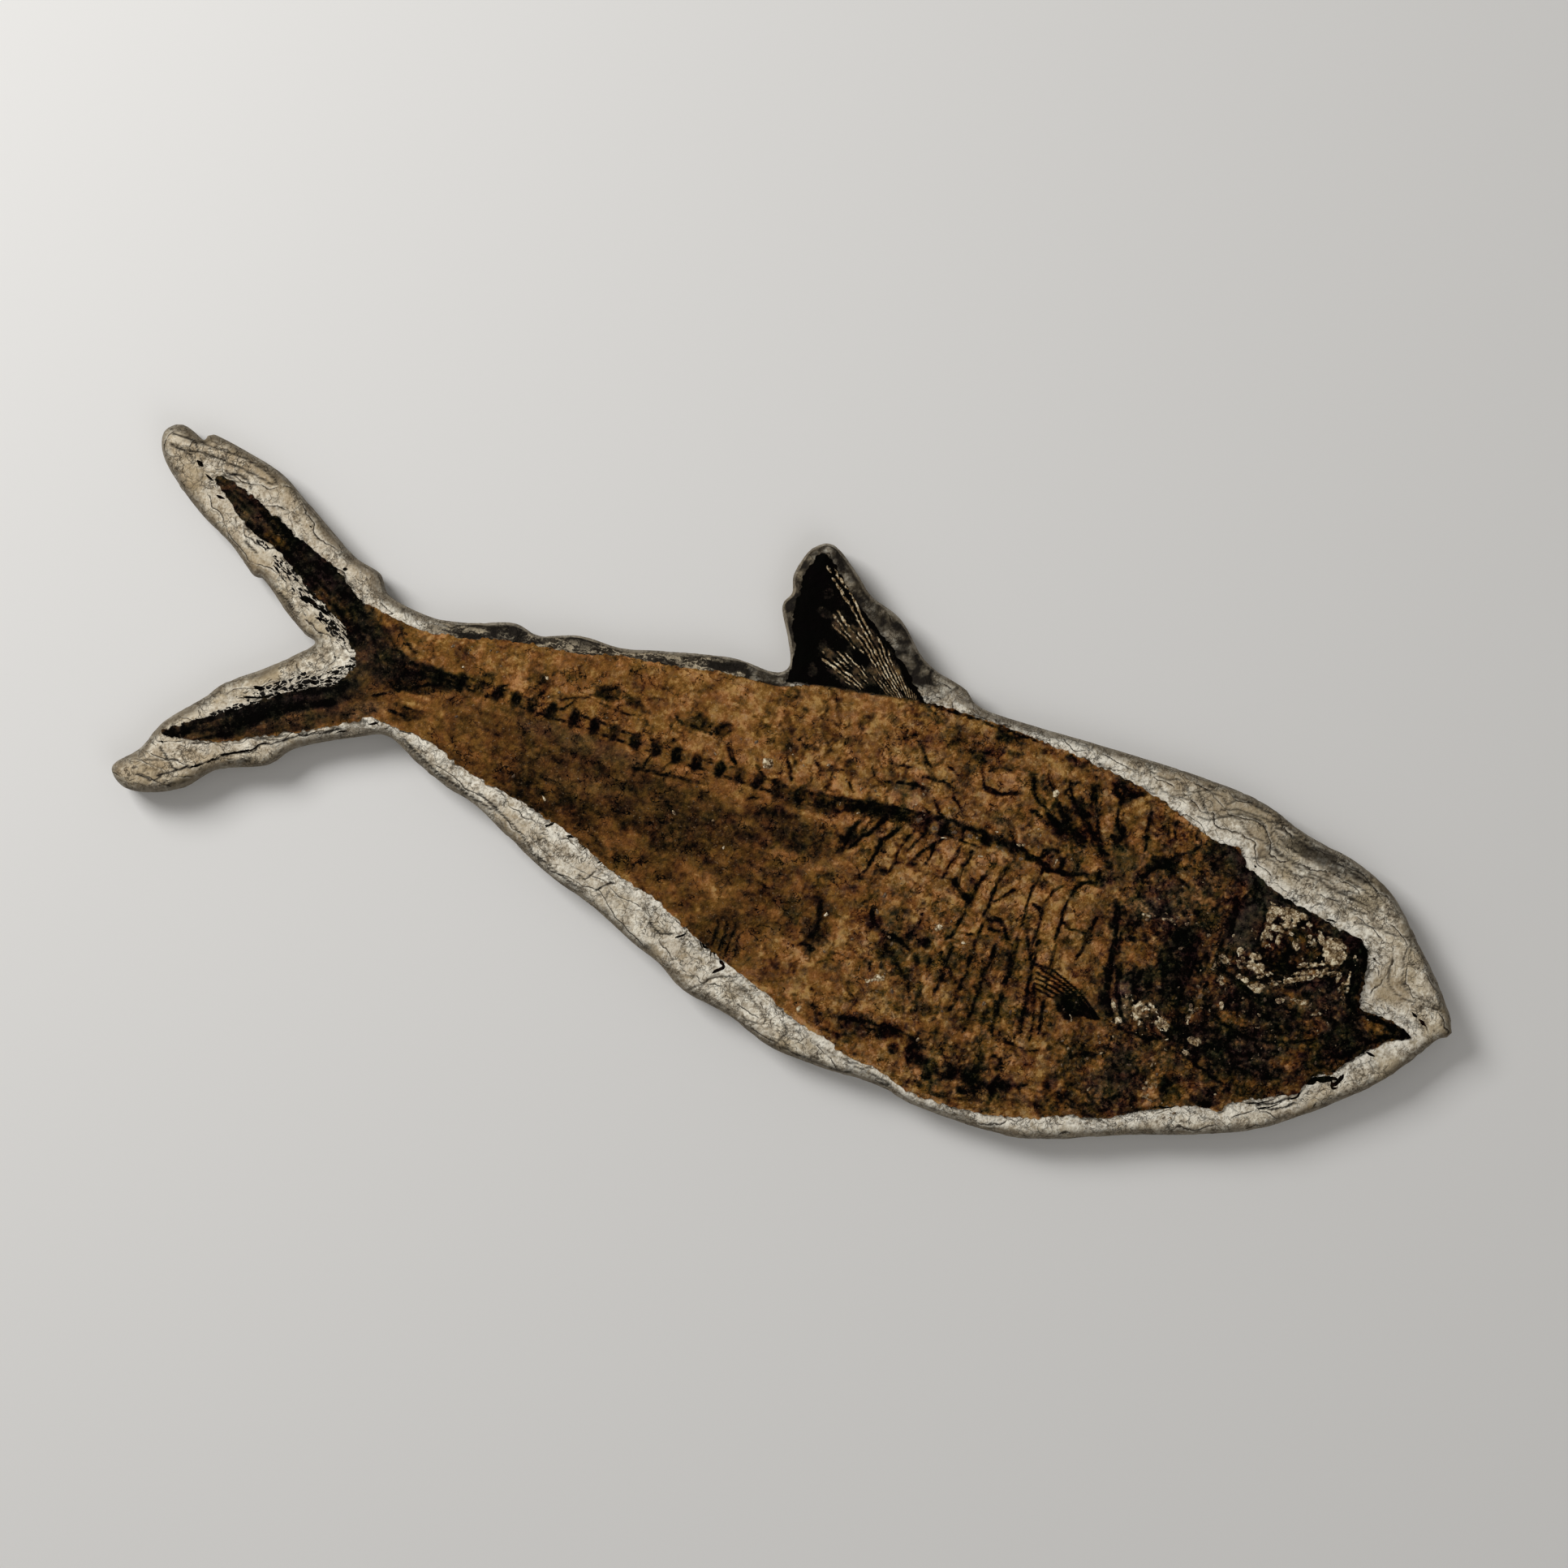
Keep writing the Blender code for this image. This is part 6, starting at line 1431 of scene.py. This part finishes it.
# Splinters: black bits of bone and fin ray left lying on the stone round the fish. First those
# that can be told apart, then the many that trail from the tail's rays into its fork. Flat rods.
SPLINTERS = (
    (0.5, 0.4, (-129, -21, -126, -19.5)), (1.1, 0.8, (-174.5, 18.5, -173, 18.3)),
    (0.6, 0.5, (-170.5, 17.8, -169.5, 17)), (0.5, 0.5, (-169.5, 15.3, -167.5, 14.8)),
    (1, 0.9, (-161.5, 9, -158, 9.3, -155, 7.6)), (0.6, 0.5, (-158, 10.5, -156.5, 10)),
    (0.6, 0.5, (-155, 8, -151, 6.5)), (0.5, 0.4, (-155, 4.8, -151, 4.6)),
    (0.9, 0.6, (-150, 3.2, -147.5, 3.8)), (0.5, 0.4, (-152.5, 7.5, -150, 8)),
    (1.4, 0.9, (-205, 38.2, -202.5, 37.5)), (0.6, 0.5, (-201.5, 35.5, -198, 34)),
    (0.7, 0.5, (-196, 30.5, -193, 30)), (0.9, 0.7, (-152, 21.5, -150.5, 22)),
    (0.7, 0.5, (-166, 30.8, -165, 30.5)), (0.5, 0.4, (-146, -5, -144, -5)),
    (0.5, 0.4, (-147, -10, -145, -10)), (0.9, 0.8, (-150.5, -14, -148, -14.6)),
    (0.8, 0.6, (-146, -13, -143.5, -12.5)), (0.8, 0.7, (-153.5, -16.2, -151.5, -17.5)),
    (0.7, 0.6, (-150, -16.5, -146.5, -15.5)), (0.9, 0.7, (-154.5, -18, -152, -20)),
    (0.7, 0.6, (-162, -21.5, -157, -21)), (0.5, 0.4, (-160.5, -18.8, -158.5, -18.5)),
    (0.6, 0.5, (-140, -11, -138.5, -10.5)), (1, 0.8, (-185.5, -41.8, -184, -41.5)),
    (0.8, 0.7, (-182, -40.2, -180, -39.5)), (0.6, 0.5, (-187.5, -46.8, -186.5, -47.2)),
    (0.5, 0.4, (-180, -37.5, -176, -36)), (0.8, 0.6, (-176, -51.5, -175, -50.5)),
    (0.9, 0.8, (204.3, -0.8, 206.5, -1.8, 209.3, -3.2)), (0.7, 0.6, (194.5, -16.5, 197.5, -16.8)),
    (1.2, 1, (180.5, -31.5, 184, -29.5, 188, -27.5)), (0.9, 0.6, (187.5, -30, 190, -27.5, 190.3, -25)),
    (0.5, 0.3, (178, -34.5, 179.5, -36, 176, -38.5)), (0.5, 0.3, (134, -56, 139, -54, 144, -51.5)),
    (0.6, 0.4, (-67, -33, -65, -31.8, -64.5, -30.5)), (0.5, 0.4, (-60.5, -34, -57.5, -33.2)),
    (0.6, 0.5, (-54.5, -35.5, -52.5, -34.8)), (0.6, 0.5, (-48.5, -38.5, -46.5, -37)),
    (0.6, 0.5, (-10, -50, -8.5, -52.5, -6.5, -51.5)), (0.7, 0.5, (-5.5, -52, -4.8, -54.5)),
    (0.9, 0.5, (-3, -54.5, -1, -56, -3.8, -59)), (0.6, 0.4, (-18, -52.5, -15.5, -50)),
    (0.8, 0.6, (143.5, 26.8, 144.5, 26.2)), (0.5, 0.4, (170, 18, 173, 18.2)),
    (0.9, 0.7, (-173.3, 18.5, -172.2, 18.3)), (0.5, 0.4, (-160, 12.2, -157, 10.8, -154, 9.6)),
    (0.45, 0.3, (-156.5, 9, -153, 7.8, -150, 6.5)), (0.5, 0.4, (-149, 3.5, -147, 3)),
    (0.5, 0.35, (-168, -25.5, -164, -24.5, -160, -23)), (0.6, 0.4, (-166, -22, -162, -21, -158, -20)),
    (0.7, 0.5, (-183.5, -40.3, -182, -39.8)), (0.6, 0.5, (-182.5, -45, -181.5, -45.2)),
    (0.9, 0.7, (179.5, -32, 183, -29.3, 187, -27.6, 189.6, -27.4)),
    (0.7, 0.4, (189.4, -27.5, 190.4, -25.4)), (0.6, 0.4, (187, -28, 188.4, -30.6, 189.8, -29.6)),
    (0.4, 0.25, (171, -36.5, 175, -34.5, 178.5, -32.5)),
    (0.35, 0.2, (172.5, -38.6, 176, -36.5, 179.5, -33.5)), (0.35, 0.2, (165, -43.5, 169, -42, 173, -39.2)),
    (0.3, 0.2, (168.5, -44, 173, -41.6, 176, -38.8)), (0.5, 0.3, (203.8, -0.4, 206.5, -1.6, 209.6, -3.4)),
    (0.5, 0.3, (-10.5, -51, -9, -53)), (0.5, 0.3, (-6.5, -52.5, -6, -54.5)),
    (0.4, 0.3, (-66.5, -33.4, -65.2, -31)), (0.4, 0.3, (-59.5, -34.6, -58.4, -32.6)),
    (0.4, 0.3, (-53.8, -36.4, -52.4, -34)), (0.4, 0.3, (-47.4, -39, -46, -36.6)),
    (0.5, 0.4, (165, 19.7, 166.2, 19.9)), (0.5, 0.4, (172, 18, 173.4, 18.1)),
    (0.5, 0.4, (187.2, 11.7, 188.2, 11.3)), (0.4, 0.3, (-191, 34, -187, 34.8)),
    (0.4, 0.3, (-137.5, -26.6, -134.5, -25.2)),
    (0.55, 0.3, (-175.5, -51, -171, -47.6, -168.7, -45, -165, -43, -160.5, -40.5, -158.4, -37.9,
        -155.5, -36.9)),
)
# The lobe's edge, which way the splinters lie from it, the slope of its rays and how many there are
FORK_SPLINTERS = (
    (((-174, 21), (-163, 15), (-153, 9), (-144, 4)), -1, -0.50, 120),
    (((-170, -30.5), (-158, -21.5), (-146, -15), (-137, -8)), 1, 0.60, 130),
)
SPLINTER_FLATNESS = 0.35
strewn = []
for side, (edge_path, way, slope, count) in enumerate(FORK_SPLINTERS):
    edge_path = np.array(edge_path)
    for i in range(count):
        run = 1 - chance(i, side, 191) ** 1.5
        middle_x = edge_path[0, 0] + run * (edge_path[-1, 0] - edge_path[0, 0])
        off = 6.5 * chance(i, side, 192) ** 1.6 - 0.3
        middle_y = np.interp(middle_x, edge_path[:, 0], edge_path[:, 1]) + way * off
        half = 0.5 + 1.1 * chance(i, side, 193) ** 2
        tilt = slope + 0.5 * (chance(i, side, 194) - 0.5)
        ahead = np.array([math.cos(tilt), math.sin(tilt)]) * half
        width = 0.16 + 0.30 * chance(i, side, 195) ** 2
        middle = np.array([middle_x, middle_y])
        strewn.append((width, 0.7 * width, (*(middle - ahead), *(middle + ahead))))
stone_tree = nearest_tree(stone_surface)
splinter_mesh = rods("bone_splinters", SPLINTERS + tuple(strewn), SPLINTER_FLATNESS, 196, 0.6, 0.55)
spots = places(splinter_mesh)[0]
ground = [stone_surface[stone_tree.find((a, b, 0))[1], 2] for a, b in spots[:, :2]]
spots[:, 2] = np.array(ground) + SPLINTER_FLATNESS * spots[:, 2]
settle(splinter_mesh, "bone_splinters", spots, lambda dark: np.full(dark.shape, 1.0))

# Calcite: cream crystals that grew in the socket, behind the jaw and at the shoulder, and single
# grains strewn over the fish. Each is a small rough lump bedded in the film; all are one piece.
# Place, half length, half width, tilt and whiteness of the large ones
GRAINS = (
    (152.3, 12.5, 1.3, 1, 0, 0.72), (153.2, 15.5, 1, 1, 0, 0.63), (155.5, 15.5, 1.6, 1.2, 0, 0.68),
    (158.5, 14.5, 2, 1.3, 10, 0.54), (160.5, 16.2, 1.8, 0.7, 15, 0.63), (163, 17, 1, 0.4, 0, 0.81),
    (156.5, 12.8, 1.5, 0.7, 0, 0.59), (159.5, 12.5, 1.3, 0.9, 0, 0.5), (152.5, 17.2, 1.2, 0.6, 0, 0.54),
    (156.2, 17.2, 1.8, 0.5, 5, 0.63), (154, 10.7, 1.6, 0.6, 15, 0.77), (157, 10.5, 1.3, 0.6, -10, 0.81),
    (160.5, 10.5, 1.2, 0.6, -20, 0.72), (153.2, 8.7, 1, 0.9, 80, 0.77), (154.6, 7.4, 1.2, 0.9, 80, 0.68),
    (153.8, 6.5, 0.7, 0.5, 0, 0.9), (157.8, 8.8, 1, 0.5, 80, 0.63), (154.5, 4.3, 0.9, 0.5, 70, 0.45),
    (163.2, 7.3, 1.3, 0.6, 100, 0.63), (166.6, 11.6, 1.2, 0.6, 120, 0.63),
    (168.4, 13.6, 2.1, 0.6, -32, 0.72), (170.6, 11.6, 1.8, 0.6, 110, 0.68),
    (165.2, 15.2, 0.7, 0.5, 0, 0.54), (163.6, 13.2, 0.8, 0.4, 0, 0.45), (173.4, 13, 1.6, 1, -20, 0.59),
    (176.5, 11.6, 1.9, 1.4, -20, 0.63), (177.5, 9, 1.6, 0.9, 85, 0.72), (175, 9.6, 1.9, 1.3, 90, 0.54),
    (174, 7.1, 1.4, 1.2, 90, 0.45), (176.5, 6.9, 1.3, 0.9, 30, 0.63), (172.7, 10.8, 1, 0.7, 90, 0.63),
    (173, 8.4, 1.2, 0.6, 90, 0.54), (165, -2.9, 2.2, 0.65, 18, 0.85), (169.5, -1.3, 2.6, 0.6, 20, 0.81),
    (172.3, 0.2, 1.2, 0.5, 30, 0.72), (167.2, 2.8, 1.9, 0.55, 25, 0.81), (170.8, 4.4, 0.6, 0.45, 0, 0.81),
    (169, 0.8, 1.6, 0.4, 20, 0.63), (172.5, 1.6, 1.6, 0.4, 38, 0.54), (173.6, 3.1, 1.3, 0.35, 30, 0.72),
    (175.2, 2.2, 0.7, 0.3, 40, 0.54), (176.8, 4.5, 0.9, 0.35, 20, 0.81), (178.4, 2.8, 1.1, 0.45, 110, 0.63),
    (147.3, -0.2, 1.3, 0.7, 110, 0.85), (150.8, 0.2, 0.9, 0.4, 50, 0.63), (152.8, 0.8, 1.1, 0.7, 110, 0.85),
    (154.3, -1.4, 0.9, 0.45, 100, 0.54), (142.3, -3, 0.9, 0.8, 0, 0.54), (144, -3.2, 1.3, 0.6, -30, 0.59),
    (145.5, -4.4, 0.8, 0.6, -40, 0.47), (141.4, -6, 2, 0.4, 97, 0.29), (143.8, 4, 0.8, 0.5, 60, 0.9),
    (148.2, -3, 0.9, 0.7, 60, 0.54), (149.5, -4.4, 0.7, 0.6, 0, 0.29), (151.6, -3.2, 1.1, 0.9, 0, 0.81),
    (153.4, -3.4, 1.3, 0.6, 20, 0.81), (155.2, -2.2, 0.9, 0.5, -30, 0.54), (157.8, -3.9, 1, 0.7, -20, 0.9),
    (155.5, -5.4, 0.9, 0.5, 20, 0.58), (151.5, -7.4, 1.2, 0.65, -20, 0.61),
    (149.4, -7.5, 0.7, 0.4, 0, 0.43), (155.2, -8.9, 1.9, 0.8, 20, 0.5), (157.8, -8.1, 0.8, 0.5, 20, 0.5),
    (153.5, -9.3, 0.8, 0.5, 0, 0.5), (161.3, -5, 1.7, 0.5, 30, 0.29), (159, -6.4, 1.1, 0.3, 25, 0.22),
    (163.7, -10.3, 1.2, 0.8, 0, 0.29), (166.5, -8.6, 2.1, 0.7, 15, 0.14), (176, -10.6, 2.1, 0.4, 15, 0.14),
    (144.3, -9.8, 1.1, 0.7, 70, 0.5), (145.6, -10.9, 0.6, 0.5, 0, 0.5), (146.9, -12.6, 0.8, 0.4, 100, 0.36),
    (147.6, -17.2, 1.6, 0.6, 105, 0.58), (163, -18.8, 0.6, 0.5, 0, 0.65), (160.5, -20, 1.1, 0.4, 20, 0.36),
    (181.6, 10, 0.7, 0.6, 60, 0.63), (182.4, 9.1, 0.5, 0.5, 0, 0.45), (183, 7.6, 0.5, 0.4, 0, 0.72),
    (182.4, -1.4, 2.1, 0.4, 100, 0.27), (133.1, -17.4, 0.5, 0.5, 0, 0.81),
    (127.6, -18.2, 1.5, 0.5, -10, 0.18), (115, -26.9, 1.3, 0.4, 115, 0.36),
    (116.4, -29.2, 1.1, 0.4, 118, 0.32), (119, -32.1, 1, 0.8, 0, 0.85), (117.2, -33.3, 0.9, 0.4, -20, 0.45),
    (112.2, -16.8, 1, 0.5, 95, 0.45), (120.8, -24, 1.1, 0.5, -40, 0.45), (122.4, -26.6, 0.7, 0.6, 0, 0.54),
    (123.7, -28.4, 1.4, 0.8, -50, 0.77), (125.3, -30.7, 1, 0.5, 115, 0.85),
    (123.8, -25, 1.1, 0.5, 90, 0.81), (124.9, -26.8, 0.6, 0.5, 0, 0.9), (126.3, -26, 1.4, 0.45, 20, 0.9),
    (126.8, -24.4, 1.3, 0.45, -35, 0.81), (128.9, -25.7, 1.6, 0.4, -35, 0.68),
    (131, -27.3, 1.2, 0.5, -15, 0.54), (132.3, -28, 1.4, 0.8, -20, 0.54), (133.2, -29.3, 0.9, 0.8, 0, 0.68),
    (132.8, -30.4, 1.4, 0.7, 0, 0.9), (130.8, -30, 0.9, 0.4, 0, 0.72), (126.8, -28, 1.4, 0.5, 0, 0.27),
    (128.8, -31.7, 1.3, 0.3, 0, 0.45), (134.9, -32.8, 1.2, 0.35, 30, 0.72),
    (135.6, -35.7, 0.7, 0.5, 0, 0.54), (141.8, -34.5, 1.3, 0.9, 0, 0.58), (142, -30.2, 1.1, 0.7, 0, 0.54),
    (143.9, -30.7, 1.1, 0.7, 0, 0.54), (139.3, -25.5, 0.9, 0.5, 90, 0.58),
    (139.6, -21.6, 1.2, 0.4, -20, 0.22), (138.5, -20.5, 0.9, 0.7, 90, 0.18),
    (140.8, -16.8, 1.2, 0.7, 60, 0.25), (139, -14.4, 0.9, 0.7, 0, 0.22), (105, -36.2, 1.3, 0.35, 125, 0.7),
    (122.3, 2, 0.8, 0.6, 0, 0.54), (147.4, 20.2, 0.7, 0.5, 0, 0.54), (134, -41, 0.7, 0.6, 0, 0.81),
    (155, -44, 0.6, 0.6, 0, 0.65), (-9.6, 8.3, 0.9, 0.7, 20, 0.8), (-8, 7.3, 1, 0.9, 0, 0.9),
    (-7.6, 8.6, 0.8, 0.6, 40, 0.7), (-9, 6.3, 0.8, 0.5, 0, 0.7), (23.5, -30.5, 1, 0.6, 20, 0.9),
    (57.5, -23, 1.2, 0.7, 70, 1), (66.4, -25.2, 0.9, 0.5, 10, 0.8), (45.6, -43.3, 1.5, 0.7, 25, 1),
    (43.2, -45.3, 1.1, 0.6, 25, 0.9), (44.4, -44.6, 0.7, 0.4, 0, 0.8), (-70, -25, 0.8, 0.5, -40, 0.9),
    (78.4, 27.6, 1.2, 0.9, 100, 0.8), (64.8, 10.4, 0.9, 0.45, 10, 1), (62.7, 1.6, 0.9, 0.4, 0, 0.6),
    (50, 3.3, 1, 0.4, 15, 0.7), (38.4, 17.3, 0.8, 0.4, 10, 0.6), (41, 6.2, 1.3, 1, 60, 0.05),
    (46.6, 5.6, 1.4, 1.1, 0, 0.22), (52.6, 6.2, 1.1, 0.8, 0, 0.05), (57.8, 6.6, 1.1, 0.9, 0, 0.36),
    (59.8, 6.8, 0.8, 0.5, 90, 0.3), (66.6, 6.2, 0.6, 0.5, 0, 0.2), (68.6, 5.6, 0.8, 0.6, 0, 0.3),
    (74.6, 5.2, 0.8, 0.5, 0, 0.25), (84.8, 7.4, 1.3, 0.9, 70, 0.34), (90, 7.5, 1.1, 0.7, 90, 0.1),
    (97, 7.2, 0.9, 0.8, 0, 0.08), (33.6, 4.2, 1, 0.5, 20, 0.12), (22.7, 2.2, 0.7, 0.6, 0, 0.42),
    (16.6, 3, 1.1, 0.8, 80, 0.3), (-13, -21.5, 0.5, 0.5, 0, 0.9), (-106.7, 5, 0.6, 0.5, 90, 0.7),
    (-81.5, 10, 0.6, 0.5, 0, 0.7),
)
# Where small grains are strewn: place, half length, half width, tilt, how many and how white
STREWN = (
    (160, -20, 28, 15, 0, 80, 0.16), (162, 4, 16, 12, 0, 40, 0.35), (125, -28, 9, 6, -30, 24, 0.45),
    (140, -12, 5, 18, 0, 26, 0.3), (128, 8, 14, 14, 0, 30, 0.25), (50, 12, 60, 4, 3, 60, 0.35),
    (60, -35, 48, 26, 0, 60, 0.2), (-50, -8, 60, 16, 0, 16, 0.22), (-60, 9, 60, 6, 0, 24, 0.25),
    (128, -48, 22, 12, 0, 30, 0.3), (185, -10, 12, 8, 0, 16, 0.25),
)
GRAIN_SUNK = 0.12
grains = bmesh.new()
whiteness = []
laid = list(GRAINS)
for zone, (middle_x, middle_y, long, wide, tilt, count, white) in enumerate(STREWN):
    for i in range(count):
        turn, out = math.tau * chance(i, zone, 181), math.sqrt(chance(i, zone, 182))
        size = 0.22 + 0.34 * chance(i, zone, 183) ** 2
        laid.append((middle_x + long * out * math.cos(turn), middle_y + wide * out * math.sin(turn),
                     size * (1 + 0.8 * chance(i, zone, 184)), size, 180 * chance(i, zone, 185),
                     white * (0.6 + 0.9 * chance(i, zone, 186))))
for middle_x, middle_y, long, wide, tilt, white in laid:
    lump = bmesh.ops.create_icosphere(grains, subdivisions=2 if long > 0.6 else 1, radius=1.0, matrix=(
        Matrix.Translation((middle_x, middle_y, 0)) @ Matrix.Rotation(math.radians(tilt), 4, "Z")
        @ Matrix.Diagonal((long, wide, 0.30 + 0.12 * wide, 1))))
    whiteness += [white] * len(lump["verts"])
grain_mesh = bpy.data.meshes.new("calcite_grains")
grains.to_mesh(grain_mesh)
grains.free()
spots = places(grain_mesh)[0]
x, y = spots[:, 0].copy(), spots[:, 1].copy()
spots[:, 0] += 0.55 * cloud(x, y, 1.0, 187)
spots[:, 1] += 0.55 * cloud(x, y, 1.0, 188)
spots[:, 2] = film_top(x, y) + spots[:, 2] * (1 + 0.7 * cloud(x, y, 0.8, 189)) - GRAIN_SUNK
grain_mesh.vertices.foreach_set("co", (spots * MM).ravel())
paint(grain_mesh, "white", np.clip(whiteness, 0, 1) + 0.2 * cloud(x, y, 0.8, 190))

calcite, tree, shader = bare_material("calcite", 0.5, 0.25)
tone, bumps = grain_of(tree, 0.0005)
shade = plus(tree, mask(tree, "white"), times(tree, minus(tree, tone, 0.5), 2.6))
place = add(tree, "TexCoord").outputs["Object"]
seams = cell_edges(tree, wavering(tree, place, 900.0, 2.0, 0.0012), 850.0)
shade = minus(tree, shade, rising(tree, seams, 0.16, 0.02, 0.55))
base = ramp(tree, shade, (0.0, (0.075, 0.044, 0.024)), (0.95, (0.90, 0.80, 0.60)), (0.3, (0.25, 0.17, 0.09)),
            (0.6, (0.52, 0.41, 0.25)))
dress(tree, shader, base, 0.7, 0.0003, bumps)
grain_mesh.materials.append(calcite)
calcite_grains = bpy.data.objects.new("calcite_grains", grain_mesh)
scene.collection.objects.link(calcite_grains)
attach(calcite_grains, "root")
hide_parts("fossil_fish")
